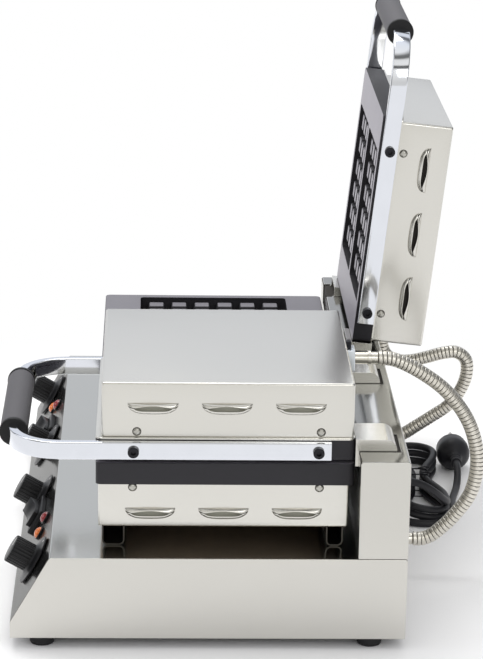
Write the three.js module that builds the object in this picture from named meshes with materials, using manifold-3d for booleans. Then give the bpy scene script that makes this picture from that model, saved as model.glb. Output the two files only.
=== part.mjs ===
// A double waffle maker for the counter: a steel base with a sloped front panel carries two
// irons side by side. Each iron has a fixed lower plate and a lid on a hinge at the rear.
// Units are millimetres. X runs to the right seen from the front, Y to the rear, Z up.
// The right lid is drawn closed and the left lid is drawn open.
import * as THREE from 'three';
import { mergeVertices } from 'three/addons/utils/BufferGeometryUtils.js';
import Module from 'manifold-3d';

const wasm = await Module();
wasm.setup();

// Base
const WIDTH = 600;
const DEPTH = 352;
const FRONT_LIP = 15.5;
const FOLD_Y = 35;
const DECK_Z = 76;
const RISER_Y = 308;
const RISER_Z = 167;
const SHEET = 1.5;
const FOOT_HEIGHT = 10;
const FOOT_RADIUS = 12;
const FOOT_INSET_X = 22;
const FOOT_FRONT_Y = 28;
const FOOT_REAR_Y = 321;

// Irons
const IRON_X = 150;
const PLATE_WIDTH = 238;
const PLATE_FRONT_Y = 75.2;
const PLATE_REAR_Y = 304.7;
const CASING_WIDTH = 234;
const CASING_FRONT_Y = 77.5;
const CASING_REAR_Y = 300;
const CASING_Z = 94;
const LOWER_PLATE_Z = 134.3;
const PARTING_Z = 154.5;
const PARTING_GAP = 3.5;
const UPPER_PLATE_TOP = 176.2;
const FLANGE_SHEET = 1.5;
const COVER_WIDTH = 231.6;
const COVER_FRONT_Y = 80.3;
const COVER_REAR_Y = 303.7;
const COVER_TOP_Z = 227.8;

// Waffle fields: two on a plate, each four pegs across and six deep
const PEGS_X = 4;
const PEGS_Y = 6;
const PEG_PITCH = 24.15;
const PEG_TOP = 15.6;
const PEG_FOOT = 18.6;
const PEG_BELOW_RIM = 3;
const FIELD_DEPTH = 14;
const FIELD_WIDTH = 105;
const FIELD_LENGTH = 154.6;
const FIELD_FRONT_Y = 112.3;
const FIELD_OFFSET_X = 57;

// Hinges
const HINGE_Y = 322;
const HINGE_Z = 159.5;
const OPEN_DEGREES = 96;
const SHAFT_RADIUS = 4;
const COLLAR_RADIUS = 5.6;
const SHAFT_HALF = 130;
const SHAFT_SIDES = 10;
const ARM_OFFSET_X = 98;
const ARM_WIDTH = 46;
const ARM_SHEET = 2.5;
const ARM_TOP_Z = 178;
const ARM_REAR_Y = 342;
const SLOT_CLEARANCE = 1.5;
const SLOT_REAR_Y = 345;
const SLOT_LOW_Z = 146;

// Handles
const BAR_HEIGHT = 16;
const BAR_THICKNESS = 8;
const BAR_Z = 168;
const BAR_REAR_Y = 283.3;
const BAR_BEND_RADIUS = 44;
const GRIP_Y = 1;
const GRIP_RADIUS = 12.5;
const GRIP_LENGTH = 154;

// Louvres on the casings and the covers
const LOUVRE_LENGTH = 45;
const LOUVRE_HEIGHT = 10;
const LOUVRE_RISE = 3.8;
const LOUVRE_PITCH = 65.3;
const LOUVRES_PER_SIDE = 3;
const CASING_LOUVRE_Y = 189;
const CASING_LOUVRE_Z = 111.5;
const COVER_LOUVRE_Y = 191;
const COVER_LOUVRE_Z = 207.5;

// Rails under each lower casing, front and rear
const RAILS_Y = [[81, 101], [281, 296]];
const RAIL_ROUNDING = 5;

// Front panel: distances run up the slope from its lower edge
const PANEL_MID = 40;
const OUTER_KNOB_X = 240;
const INNER_KNOB_X = 75;
const SWITCH_X = 122;
const AMBER_LAMP_X = 183;
const RED_LAMP_X = 166;
const KNOB_RADIUS = 23.5;
const KNOB_HEIGHT = 25;
const CONTROL_SHAFT = 3;

// Ribbed hoses between each lid and the base
const HOSE_RADIUS = 6.3;
const HOSE_GROOVE_RADIUS = 5.4;
const HOSE_BORE_RADIUS = 3.8;
const HOSE_RIBS = 46;
const RIBS_PER_BORE_RING = 2;
const HOSE_OFFSET_X = -35;
const HOSE_LID_Z = 205;
const HOSE_BASE_Z = 25;
const GLAND_STEM = 5.2;
const GLAND_RADIUS = 5.8;
const GLAND_BORE = 3.8;
const LID_GLAND_BLOCK = 20;
const LID_GLAND_END = 32;
const BASE_GLAND_END = 22;

// Mains lead
const CORD_RADIUS = 3.75;
const CORD_EXIT_X = 10;
const CORD_EXIT_Z = 45;
const RELIEF_LENGTH = 24;
const PLUG_RADIUS = 17.5;
const PLUG_X = -150;
const PLUG_Y = 444.6;
const PLUG_Z = -FOOT_HEIGHT + PLUG_RADIUS;

// Hank: long loops of the lead that lie flat on the floor behind the base, in layers
const HANK_LAYERS = 3;
const HANK_TURNS = 2.66;
const HANK_FOLD_RADIUS = 22.5;
const HANK_RUN_HALF = 68.5;
const HANK_LAYER_STEP = 8.1;
const HANK_WAIST = 0.25;
const HANK_CENTRE_X = -106;
const HANK_CENTRE_Y = 400;
const HANK_FLOOR_Z = -FOOT_HEIGHT + CORD_RADIUS + 0.2;
const HANK_TOP_Z = HANK_FLOOR_Z + (HANK_LAYERS - 1) * HANK_LAYER_STEP;
const HANK_STEPS_PER_TURN = 24;
const TAIL_FOLD_RADIUS = 30.6;

const GAP = 0.3;
const RADIANS = Math.PI / 180;
const IRONS = [{ side: 'right', x: IRON_X, open: 0 }, { side: 'left', x: -IRON_X, open: OPEN_DEGREES }];

// Solids: manifold-3d joins and cuts closed meshes
function toSolid(geometry) {
  const bare = geometry.clone();
  for (const name of Object.keys(bare.attributes)) {
    if (name !== 'position') bare.deleteAttribute(name);
  }
  const merged = mergeVertices(bare, 1e-4);
  return new wasm.Manifold(new wasm.Mesh({
    numProp: 3,
    vertProperties: new Float32Array(merged.attributes.position.array),
    triVerts: new Uint32Array(merged.index.array),
  }));
}

function toGeometry(solid) {
  const mesh = solid.getMesh();
  const geometry = new THREE.BufferGeometry();
  geometry.setAttribute('position', new THREE.BufferAttribute(mesh.vertProperties, 3));
  geometry.setIndex(new THREE.BufferAttribute(mesh.triVerts, 1));
  geometry.computeVertexNormals();
  return geometry;
}

function join(...geometries) {
  return toGeometry(geometries.map(toSolid).reduce((whole, piece) => whole.add(piece)));
}

function cut(geometry, ...tools) {
  const tool = tools.map(toSolid).reduce((whole, piece) => whole.add(piece));
  return toGeometry(toSolid(geometry).subtract(tool));
}

function common(geometry, tool) {
  return toGeometry(toSolid(geometry).intersect(toSolid(tool)));
}

// A box given by its low and high corner
function box(x0, x1, y0, y1, z0, z1) {
  const geometry = new THREE.BoxGeometry(x1 - x0, y1 - y0, z1 - z0);
  return geometry.translate((x0 + x1) / 2, (y0 + y1) / 2, (z0 + z1) / 2);
}

function outline(points) {
  return new THREE.Shape(points.map(([a, b]) => new THREE.Vector2(a, b)));
}

function roundedRectangle(width, height, radius) {
  const w = width / 2 - radius;
  const h = height / 2 - radius;
  const shape = new THREE.Shape();
  shape.absarc(w, h, radius, 0, Math.PI / 2);
  shape.absarc(-w, h, radius, Math.PI / 2, Math.PI);
  shape.absarc(-w, -h, radius, Math.PI, 1.5 * Math.PI);
  shape.absarc(w, -h, radius, 1.5 * Math.PI, 2 * Math.PI);
  return shape;
}

// An outline drawn in X and Y, raised from z0 to z1
function raise(shape, z0, z1, curveSegments = 3) {
  const options = { depth: z1 - z0, bevelEnabled: false, curveSegments };
  return new THREE.ExtrudeGeometry(shape, options).translate(0, 0, z0);
}

// An outline drawn in Y and Z, run along X from x0 to x1
function runAlongX(shape, x0, x1, curveSegments = 4) {
  const axes = new THREE.Matrix4().makeBasis(
    new THREE.Vector3(0, 1, 0), new THREE.Vector3(0, 0, 1), new THREE.Vector3(1, 0, 0),
  );
  return raise(shape, x0, x1, curveSegments).applyMatrix4(axes);
}

// A cylinder along X, Y or Z, centred on a point
function rod(axis, radius, length, x, y, z, sides = 16) {
  const geometry = new THREE.CylinderGeometry(radius, radius, length, sides);
  if (axis === 'x') geometry.rotateZ(Math.PI / 2);
  if (axis === 'z') geometry.rotateX(Math.PI / 2);
  return geometry.translate(x, y, z);
}

// A turned piece about Z from its radius and height pairs
function turned(profile, sides = 16) {
  const points = profile.map(([radius, height]) => new THREE.Vector2(radius, height));
  return new THREE.LatheGeometry(points, sides).rotateX(Math.PI / 2);
}

// A turned ring: its profile closes on itself
function turnedRing(profile, sides = 16) {
  return turned([...profile, profile[0]], sides);
}

function circle(radius, sides) {
  const points = [];
  for (let i = 0; i < sides; i += 1) {
    const angle = (2 * Math.PI * i) / sides;
    points.push(new THREE.Vector2(radius * Math.cos(angle), radius * Math.sin(angle)));
  }
  return new THREE.Shape(points);
}

function tube(curve, radius, steps, sides) {
  const options = { steps, extrudePath: curve, bevelEnabled: false };
  return new THREE.ExtrudeGeometry(circle(radius, sides), options);
}

function curveThrough(points) {
  return new THREE.CatmullRomCurve3(points.map((p) => new THREE.Vector3(...p)), false, 'centripetal');
}

// Materials
function material(color, roughness, metalness) {
  return new THREE.MeshStandardMaterial({ color, roughness, metalness });
}

const steel = () => material(0xd6d4cd, 0.3, 1);
const mirrorSteel = () => material(0xb9b6aa, 0.12, 1);
const chrome = () => material(0xe4e9ee, 0.08, 1);
const castIron = () => material(0x3e3c42, 0.6, 0.3);
const blackPlastic = () => material(0x2c2c2e, 0.5, 0);
const rubber = () => material(0x26262a, 0.8, 0);
const gripPlastic = () => material(0x55545a, 0.7, 0);
const amber = () => material(0xe8781c, 0.3, 0);
const red = () => material(0xc8343c, 0.3, 0);
const nickel = () => material(0xc9c4b4, 0.25, 1);
const cordBlack = () => material(0x303033, 0.65, 0);

function part(name, geometry, finish) {
  const mesh = new THREE.Mesh(geometry, finish);
  mesh.name = name;
  return mesh;
}

function place(object, x, y, z) {
  object.position.set(x, y, z);
  return object;
}

// The slope of the front panel as a frame: X along it, Y up it, Z out of it
const slopeUp = new THREE.Vector3(0, FOLD_Y, DECK_Z - FRONT_LIP).normalize();
const slopeOut = new THREE.Vector3(1, 0, 0).cross(slopeUp);
const slopeFrame = new THREE.Matrix4()
  .makeBasis(new THREE.Vector3(1, 0, 0), slopeUp, slopeOut)
  .setPosition(0, 0, FRONT_LIP);

// Where the pieces of one half of the panel sit; the halves mirror each other
function panelPlaces(sign) {
  return {
    thermostat: [sign * OUTER_KNOB_X, PANEL_MID],
    timer: [sign * INNER_KNOB_X, PANEL_MID],
    power: [sign * SWITCH_X, PANEL_MID - 2],
    amber: [sign * AMBER_LAMP_X, PANEL_MID + 5],
    red: [sign * RED_LAMP_X, PANEL_MID + 15],
  };
}

const HOLE_SIDES = 8;
const SHAFT_HOLE = 5;
const LAMP_HOLE = 4.8;
const SWITCH_BODY = [40, 21];
const WIRE_HOLE = 9;
const CUT_THROUGH = 12;

// Base shell: one folded sheet, open below, with its panel and rear holes
function baseProfile(inset) {
  const lean = Math.atan2(FOLD_Y, DECK_Z - FRONT_LIP);
  const low = inset ? -1 : 0;
  return outline([
    [inset, low],
    [inset, FRONT_LIP - inset * Math.tan(lean / 2)],
    [FOLD_Y + inset * Math.tan((Math.PI / 2 - lean) / 2), DECK_Z - inset],
    [DEPTH - inset, DECK_Z - inset],
    [DEPTH - inset, low],
  ]);
}

function baseShell() {
  const outer = runAlongX(baseProfile(0), -WIDTH / 2, WIDTH / 2);
  const inner = runAlongX(baseProfile(SHEET), -WIDTH / 2 + SHEET, WIDTH / 2 - SHEET);
  const holes = [];
  const drill = (axis, radius, x, y, z) => {
    const hole = rod(axis, radius, CUT_THROUGH, x, y, z, HOLE_SIDES);
    holes.push(hole);
    return hole;
  };
  for (const sign of [1, -1]) {
    const at = panelPlaces(sign);
    const roundHoles = [
      [at.thermostat, SHAFT_HOLE], [at.timer, SHAFT_HOLE], [at.amber, LAMP_HOLE], [at.red, LAMP_HOLE],
    ];
    for (const [[x, y], radius] of roundHoles) {
      drill('z', radius, x, y, 0).applyMatrix4(slopeFrame);
    }
    const [x, y] = at.power;
    const [w, h] = SWITCH_BODY.map((size) => size / 2 + GAP);
    const through = CUT_THROUGH / 2;
    holes.push(box(x - w, x + w, y - h, y + h, -through, through).applyMatrix4(slopeFrame));
    drill('y', GLAND_STEM + 2 * GAP, sign * IRON_X + HOSE_OFFSET_X, DEPTH, HOSE_BASE_Z);
    drill('z', WIRE_HOLE, sign * IRON_X, (CASING_FRONT_Y + CASING_REAR_Y) / 2, DECK_Z);
  }
  drill('y', GLAND_STEM + 2 * GAP, CORD_EXIT_X, DEPTH, CORD_EXIT_Z);
  return cut(outer, inner, ...holes);
}

function bottomPlate() {
  const edge = SHEET + GAP;
  const plate = box(-WIDTH / 2 + edge, WIDTH / 2 - edge, edge, DEPTH - edge, 0, SHEET);
  const vents = [];
  const ventPitch = 22;
  for (const iron of IRONS) {
    for (let i = -2; i <= 2; i += 1) {
      const x = iron.x + i * ventPitch;
      vents.push(box(x - 3, x + 3, 150, 220, -1, SHEET + 1));
    }
  }
  return cut(plate, ...vents);
}

// Rear housing: a box with an open floor and a slot over the top edge for each hinge arm
function riserHousing() {
  const low = DECK_Z + GAP;
  const outer = box(-WIDTH / 2, WIDTH / 2, RISER_Y, DEPTH, low, RISER_Z);
  const inner = box(
    -WIDTH / 2 + SHEET, WIDTH / 2 - SHEET,
    RISER_Y + SHEET, DEPTH - SHEET,
    low - 1, RISER_Z - SHEET,
  );
  const slots = [];
  const half = ARM_WIDTH / 2 + SLOT_CLEARANCE;
  for (const iron of IRONS) {
    for (const side of [1, -1]) {
      const x = iron.x + side * ARM_OFFSET_X;
      slots.push(box(x - half, x + half, RISER_Y - 1, SLOT_REAR_Y, SLOT_LOW_Z, RISER_Z + 1));
    }
  }
  return cut(outer, inner, ...slots);
}

function foot() {
  const bottom = -FOOT_HEIGHT;
  return turned([[0, bottom], [FOOT_RADIUS - 3.5, bottom], [FOOT_RADIUS - 1.5, bottom + 1.5],
    [FOOT_RADIUS, -GAP], [0, -GAP]], 10);
}

// Pressed louvres: each is a quarter of a flat dome, open along its upper edge
function louvreDome(grow) {
  const dome = new THREE.SphereGeometry(1, 8, 4);
  dome.rotateX(Math.PI / 2);
  dome.scale(LOUVRE_RISE + grow, LOUVRE_LENGTH / 2 + grow, LOUVRE_HEIGHT + grow);
  return dome;
}

// Adds louvres to both side walls of a box shell: wallX is the outer face at X, height is the lip's
function louvred(shell, wallX, middleY, lipZ, sheet) {
  let solid = toSolid(shell);
  const outerDome = louvreDome(0);
  const innerDome = louvreDome(-1);
  const far = 60;
  for (const sign of [1, -1]) {
    const outside = sign > 0 ? [wallX - sheet / 2, far + wallX] : [-far - wallX, -wallX + sheet / 2];
    for (let i = 0; i < LOUVRES_PER_SIDE; i += 1) {
      const y = middleY + (i - (LOUVRES_PER_SIDE - 1) / 2) * LOUVRE_PITCH;
      const centre = [sign * wallX, y, lipZ];
      const below = box(outside[0], outside[1], y - far, y + far, lipZ - far, lipZ);
      const lip = toSolid(common(outerDome.clone().translate(...centre), below));
      const hollow = box(-2 * far - wallX, wallX + 2 * far, y - far, y + far, lipZ - far, lipZ + 0.5);
      const inside = toSolid(common(innerDome.clone().translate(...centre), hollow));
      solid = solid.add(lip).subtract(inside);
    }
  }
  return toGeometry(solid);
}

// Lower casing: an open-topped tray with louvred sides, standing on two folded rails
function railProfile(y0, y1) {
  const radius = RAIL_ROUNDING;
  const z0 = DECK_Z + GAP;
  const z1 = CASING_Z + 0.5;
  const shape = new THREE.Shape();
  shape.moveTo(y0, z1);
  shape.lineTo(y0, z0 + radius);
  shape.absarc(y0 + radius, z0 + radius, radius, Math.PI, 1.5 * Math.PI);
  shape.absarc(y1 - radius, z0 + radius, radius, 1.5 * Math.PI, 2 * Math.PI);
  shape.lineTo(y1, z1);
  return shape;
}

function lowerCasing() {
  const w = CASING_WIDTH / 2;
  const sheet = 1.2;
  const top = LOWER_PLATE_Z - GAP;
  const outer = box(-w, w, CASING_FRONT_Y, CASING_REAR_Y, CASING_Z, top);
  const inner = box(
    -w + sheet, w - sheet,
    CASING_FRONT_Y + sheet, CASING_REAR_Y - sheet,
    CASING_Z + sheet, top + 1,
  );
  const wireHole = rod('z', WIRE_HOLE, 20, 0, (CASING_FRONT_Y + CASING_REAR_Y) / 2, CASING_Z, 12);
  const tray = louvred(cut(outer, inner, wireHole), w, CASING_LOUVRE_Y, CASING_LOUVRE_Z, sheet);
  const rails = RAILS_Y.map(([y0, y1]) => {
    const shell = runAlongX(railProfile(y0, y1), -w, w, 3);
    return cut(shell, box(-w - 1, w + 1, y0 + sheet, y1 - sheet, DECK_Z + 2 * sheet, CASING_Z));
  });
  return join(tray, ...rails);
}

// Square peg about its own middle, narrower at the top by its draft
function taperedPeg(height) {
  const peg = new THREE.BoxGeometry(PEG_FOOT, PEG_FOOT, height);
  const corners = peg.attributes.position;
  for (let i = 0; i < corners.count; i += 1) {
    if (corners.getZ(i) > 0) {
      const narrow = PEG_TOP / PEG_FOOT;
      corners.setXY(i, corners.getX(i) * narrow, corners.getY(i) * narrow);
    }
  }
  return peg;
}

// Waffle plates: the recess of a field is a block that the pegs stand in
function wafflePlate(bottom, top, pegsUp) {
  const middleY = (PLATE_FRONT_Y + PLATE_REAR_Y) / 2;
  const blank = raise(roundedRectangle(PLATE_WIDTH, PLATE_REAR_Y - PLATE_FRONT_Y, 5), bottom, top);
  let solid = toSolid(blank.translate(0, middleY, 0));
  const rim = pegsUp ? top : bottom;
  const inward = pegsUp ? -1 : 1;
  const floor = rim + inward * FIELD_DEPTH;
  const pegHeight = FIELD_DEPTH - PEG_BELOW_RIM;
  const peg = taperedPeg(pegHeight);
  if (!pegsUp) peg.rotateX(Math.PI);
  for (const side of [-1, 1]) {
    const fieldX = side * FIELD_OFFSET_X;
    const fieldY = FIELD_FRONT_Y + FIELD_LENGTH / 2;
    const mouth = FIELD_WIDTH / 2;
    const reach = FIELD_LENGTH / 2;
    const recess = box(
      fieldX - mouth, fieldX + mouth, fieldY - reach, fieldY + reach,
      Math.min(rim - inward, floor), Math.max(rim - inward, floor),
    );
    const pegs = [];
    for (let i = 0; i < PEGS_X; i += 1) {
      for (let j = 0; j < PEGS_Y; j += 1) {
        const x = fieldX + (i - (PEGS_X - 1) / 2) * PEG_PITCH;
        const y = fieldY + (j - (PEGS_Y - 1) / 2) * PEG_PITCH;
        pegs.push(toSolid(peg.clone().translate(x, y, floor - inward * (pegHeight / 2))));
      }
    }
    const standing = pegs.reduce((whole, piece) => whole.add(piece));
    solid = solid.subtract(toSolid(recess).subtract(standing));
  }
  return toGeometry(solid);
}

// Heating element: a bent tube in two long hairpins, lying flat at height z
function heatingElement(z) {
  const runs = [-84, -28, 28, 84];
  const front = 108;
  const rear = 262;
  const ends = 284;
  const bend = 26;
  const radius = 3.2;
  const points = [];
  runs.forEach((x, i) => {
    const last = i === runs.length - 1;
    const [from, to] = i % 2 ? [front, rear] : [rear, front];
    const step = Math.sign(to - from) * bend;
    points.push([x, i ? from + step : ends, z]);
    points.push([x, (from + to) / 2, z]);
    points.push([x, last ? ends : to - step, z]);
    if (!last) {
      points.push([(x + runs[i + 1]) / 2, to, z]);
    }
  });
  return tube(curveThrough(points), radius, 20, 5);
}

// Lid cover: a louvred box, open below
function lidCover() {
  const w = COVER_WIDTH / 2;
  const sheet = 1.2;
  const low = UPPER_PLATE_TOP + GAP + FLANGE_SHEET + GAP;
  const middleY = (COVER_FRONT_Y + COVER_REAR_Y) / 2;
  const length = COVER_REAR_Y - COVER_FRONT_Y;
  const outer = raise(roundedRectangle(COVER_WIDTH, length, 2.5), low, COVER_TOP_Z, 2);
  const inner = box(
    -w + sheet, w - sheet,
    COVER_FRONT_Y + sheet, COVER_REAR_Y - sheet,
    low - 1, COVER_TOP_Z - sheet,
  );
  const gland = rod('y', GLAND_STEM + GAP, 12, HOSE_OFFSET_X, COVER_REAR_Y, HOSE_LID_Z);
  const shell = cut(outer.translate(0, middleY, 0), inner, gland);
  return louvred(shell, w, COVER_LOUVRE_Y, COVER_LOUVRE_Z, sheet);
}

// Flange: a thin frame with round corners between the casting and its cover
function lidFlange() {
  const length = PLATE_REAR_Y - PLATE_FRONT_Y;
  const low = UPPER_PLATE_TOP + GAP;
  const frame = roundedRectangle(PLATE_WIDTH, length, 6);
  frame.holes.push(roundedRectangle(PLATE_WIDTH - 24, length - 24, 3));
  return raise(frame, low, low + FLANGE_SHEET, 2).translate(0, (PLATE_FRONT_Y + PLATE_REAR_Y) / 2, 0);
}

// Handle bar: a flat bar on edge, bent twice into a long U that lies level
function handleBar() {
  const outerX = PLATE_WIDTH / 2 + GAP + BAR_THICKNESS;
  const corner = GRIP_Y + BAR_BEND_RADIUS;
  const u = (half, radius) => {
    const shape = new THREE.Shape();
    shape.moveTo(half, BAR_REAR_Y);
    shape.lineTo(-half, BAR_REAR_Y);
    shape.absarc(-outerX + BAR_THICKNESS / 2 + BAR_BEND_RADIUS, corner, radius, Math.PI, 1.5 * Math.PI);
    shape.absarc(outerX - BAR_THICKNESS / 2 - BAR_BEND_RADIUS, corner, radius, 1.5 * Math.PI, 2 * Math.PI);
    return shape;
  };
  const low = BAR_Z - BAR_HEIGHT / 2;
  const outer = raise(u(outerX, BAR_BEND_RADIUS + BAR_THICKNESS / 2), low, low + BAR_HEIGHT, 6);
  const innerHalf = outerX - BAR_THICKNESS;
  const inner = raise(u(innerHalf, BAR_BEND_RADIUS - BAR_THICKNESS / 2), low - 1, low + BAR_HEIGHT + 1, 6);
  const open = box(-innerHalf, innerHalf, BAR_REAR_Y - 1, BAR_REAR_Y + 1, low - 1, low + BAR_HEIGHT + 1);
  return cut(outer, inner, open);
}

// Grip: a round sleeve with soft ends on the cross run of the bar
function grip() {
  const half = GRIP_LENGTH / 2;
  const soft = 3;
  const sleeve = turned([[0, -half], [GRIP_RADIUS - soft, -half], [GRIP_RADIUS, -half + soft],
    [GRIP_RADIUS, half - soft], [GRIP_RADIUS - soft, half], [0, half]], 16);
  sleeve.rotateY(Math.PI / 2).translate(0, GRIP_Y, BAR_Z);
  const t = BAR_THICKNESS / 2 + GAP;
  const h = BAR_HEIGHT / 2 + GAP;
  return cut(sleeve, box(-half - 1, half + 1, GRIP_Y - t, GRIP_Y + t, BAR_Z - h, BAR_Z + h));
}

// Hinge arm: a hood bolted to the rear of the casting, with cheeks that turn on the shaft
function hingeArm() {
  const front = PLATE_REAR_Y + GAP;
  const inside = front + ARM_SHEET;
  const lip = 153;
  const round = 10.5;
  const hub = 9.5;
  const shape = new THREE.Shape();
  shape.moveTo(front, lip);
  shape.lineTo(front, ARM_TOP_Z);
  shape.absarc(ARM_REAR_Y - round, ARM_TOP_Z - round, round, Math.PI / 2, 0, true);
  shape.absarc(HINGE_Y, HINGE_Z, hub, -20 * RADIANS, -140 * RADIANS, true);
  shape.lineTo(inside + 0.2, lip);
  const cavity = new THREE.Shape();
  cavity.moveTo(inside, 140);
  cavity.lineTo(inside, ARM_TOP_Z - ARM_SHEET);
  cavity.absarc(ARM_REAR_Y - round, ARM_TOP_Z - round, round - ARM_SHEET, Math.PI / 2, 0, true);
  cavity.lineTo(ARM_REAR_Y - ARM_SHEET, 140);
  const half = ARM_WIDTH / 2;
  const hood = runAlongX(shape, -half, half, 3);
  const hollow = runAlongX(cavity, -half + ARM_SHEET, half - ARM_SHEET, 2);
  const bore = rod('x', SHAFT_RADIUS + GAP, ARM_WIDTH + 4, 0, HINGE_Y, HINGE_Z, SHAFT_SIDES);
  return cut(hood, hollow, bore);
}

// Hinge bracket: a wide U inside the rear housing that holds the ends of the shaft
function hingeBracket() {
  const half = 127;
  const plate = 3;
  const [front, rear] = [311.5, 333];
  const low = DECK_Z + GAP + GAP;
  const high = RISER_Z - SHEET - 0.5;
  const outer = box(-half, half, front, rear, low, high);
  const inner = box(-half + plate, half - plate, front - 1, rear + 1, low + plate, high + 1);
  return cut(outer, inner, rod('x', SHAFT_RADIUS + GAP, 2 * half + 4, 0, HINGE_Y, HINGE_Z, SHAFT_SIDES));
}

function hingeShaft() {
  const shaft = rod('x', SHAFT_RADIUS, 2 * SHAFT_HALF, 0, HINGE_Y, HINGE_Z, SHAFT_SIDES);
  const collars = [1, -1].map((sign) => (
    rod('x', COLLAR_RADIUS, 3, sign * (SHAFT_HALF - 1.2), HINGE_Y, HINGE_Z, SHAFT_SIDES)
  ));
  return join(shaft, ...collars);
}

// Panel pieces, drawn in the frame of the slope
function knob() {
  const fluteCount = 8;
  const pointsPerFlute = 3;
  const gripRadius = 13;
  const points = [];
  for (let i = 0; i < fluteCount * pointsPerFlute; i += 1) {
    const angle = (2 * Math.PI * i) / (fluteCount * pointsPerFlute);
    const radius = gripRadius - (i % pointsPerFlute === 0 ? 1 : 0);
    points.push(new THREE.Vector2(radius * Math.cos(angle), radius * Math.sin(angle)));
  }
  const fluted = raise(new THREE.Shape(points), 6, KNOB_HEIGHT);
  const skirt = turned([[0, 1], [KNOB_RADIUS, 1], [KNOB_RADIUS, 3], [KNOB_RADIUS - 1.5, 4],
    [gripRadius, 9], [0, 9]], 18);
  const pointer = box(-1.5, 1.5, gripRadius - 2, KNOB_RADIUS - 2, 4, 6.5);
  const bore = rod('z', CONTROL_SHAFT + 2 * GAP, 16, 0, 0, 5, 6);
  return cut(join(fluted, skirt, pointer), bore);
}

// A control behind the panel: its case, threaded neck and the shaft that the knob sits on
function controlBody(width, height, depth) {
  const back = -SHEET - GAP;
  const housing = box(-width / 2, width / 2, -height / 2, height / 2, back - depth, back);
  const neck = rod('z', SHAFT_HOLE - 0.5, 4, 0, 0, back + 0.5, HOLE_SIDES);
  const shaft = rod('z', CONTROL_SHAFT, 14, 0, 0, 5, 6);
  return join(housing, neck, shaft);
}

function switchFrame() {
  const [w, h] = SWITCH_BODY;
  const bezel = raise(roundedRectangle(w + 6, h + 5, 3), GAP, 5);
  const body = box(-w / 2, w / 2, -h / 2, h / 2, -18, 4);
  const well = box(-w / 2 + 1.5, w / 2 - 1.5, -h / 2 + 1.5, h / 2 - 1.5, -14, 6);
  return cut(join(bezel, body), well);
}

// Rocker: two flats that meet in a shallow valley over a round belly
function rocker() {
  const [w, h] = SWITCH_BODY;
  const half = w / 2 - 3.2;
  const shape = new THREE.Shape();
  shape.moveTo(-half, 1);
  shape.lineTo(-half, 11);
  shape.lineTo(0, 8);
  shape.lineTo(half, 11);
  shape.lineTo(half, 1);
  shape.absarc(0, -1, 7, 0, -Math.PI, true);
  const depth = h - 5;
  const solid = raise(shape, -depth / 2, depth / 2, 4);
  return solid.rotateX(Math.PI / 2);
}

function pilotLamp() {
  return turned([[0, -10], [LAMP_HOLE - GAP, -10], [LAMP_HOLE - GAP, GAP], [6.5, GAP], [6.5, 1.8],
    [4, 4.4], [0, 5.4]], 8);
}

// Glands for the hoses, drawn along Z out of the wall that they sit on
function baseGland() {
  const flange = 9;
  return turnedRing([[GLAND_BORE, -4], [GLAND_STEM, -4], [GLAND_STEM, GAP], [flange, GAP], [flange, 4],
    [GLAND_RADIUS, 5], [GLAND_RADIUS, BASE_GLAND_END], [GLAND_BORE, BASE_GLAND_END]], 10);
}

function lidGland() {
  const half = LID_GLAND_BLOCK / 2;
  const block = box(-half, half, -half, half, GAP, half);
  const bore = rod('z', GLAND_BORE, 80, 0, 0, 20, 10);
  const nipple = rod('z', GLAND_RADIUS, LID_GLAND_END - 8, 0, 0, LID_GLAND_END / 2 + 4, 10);
  const stem = rod('z', GLAND_STEM, 8, 0, 0, 0, 10);
  return cut(join(block, nipple, stem), bore);
}

// Ribbed hose along a curve: crest and groove rings outside, plain rings inside the bore
function ribbedHose(curve, ribs) {
  const sides = 8;
  const length = curve.getLength();
  const plain = 2 * HOSE_RADIUS;
  const outer = [[0, HOSE_GROOVE_RADIUS], [plain, HOSE_GROOVE_RADIUS]];
  const pitch = (length - 2 * plain) / ribs;
  for (let i = 0; i < ribs; i += 1) {
    const start = plain + i * pitch;
    outer.push([start + 0.35 * pitch, HOSE_RADIUS]);
    if (i < ribs - 1) outer.push([start + pitch, HOSE_GROOVE_RADIUS]);
  }
  outer.push([length - plain, HOSE_GROOVE_RADIUS], [length, HOSE_GROOVE_RADIUS]);
  const boreSteps = Math.ceil(ribs / RIBS_PER_BORE_RING);
  const inner = [];
  for (let i = 0; i <= boreSteps; i += 1) inner.push([(length * i) / boreSteps, HOSE_BORE_RADIUS]);
  const across = new THREE.Vector3(1, 0, 0);
  const positions = [];
  const ring = ([distance, radius]) => {
    const u = THREE.MathUtils.clamp(distance / length, 0, 1);
    const centre = curve.getPointAt(u);
    const ahead = curve.getTangentAt(u);
    const side = new THREE.Vector3().crossVectors(ahead, across).normalize();
    const up = new THREE.Vector3().crossVectors(side, ahead).normalize();
    const first = positions.length / 3;
    for (let k = 0; k < sides; k += 1) {
      const angle = (2 * Math.PI * k) / sides;
      const point = centre.clone()
        .addScaledVector(side, radius * Math.cos(angle))
        .addScaledVector(up, radius * Math.sin(angle));
      positions.push(point.x, point.y, point.z);
    }
    return first;
  };
  const outerRings = outer.map(ring);
  const innerRings = inner.map(ring);
  const triangles = [];
  const band = (a, b) => {
    for (let k = 0; k < sides; k += 1) {
      const next = (k + 1) % sides;
      triangles.push(a + k, b + k, a + next, b + k, b + next, a + next);
    }
  };
  for (let i = 1; i < outerRings.length; i += 1) band(outerRings[i - 1], outerRings[i]);
  for (let i = 1; i < innerRings.length; i += 1) band(innerRings[i], innerRings[i - 1]);
  band(innerRings[0], outerRings[0]);
  band(outerRings.at(-1), innerRings.at(-1));
  const geometry = new THREE.BufferGeometry();
  geometry.setAttribute('position', new THREE.Float32BufferAttribute(positions, 3));
  geometry.setIndex(triangles);
  geometry.computeVertexNormals();
  return geometry;
}

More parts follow.
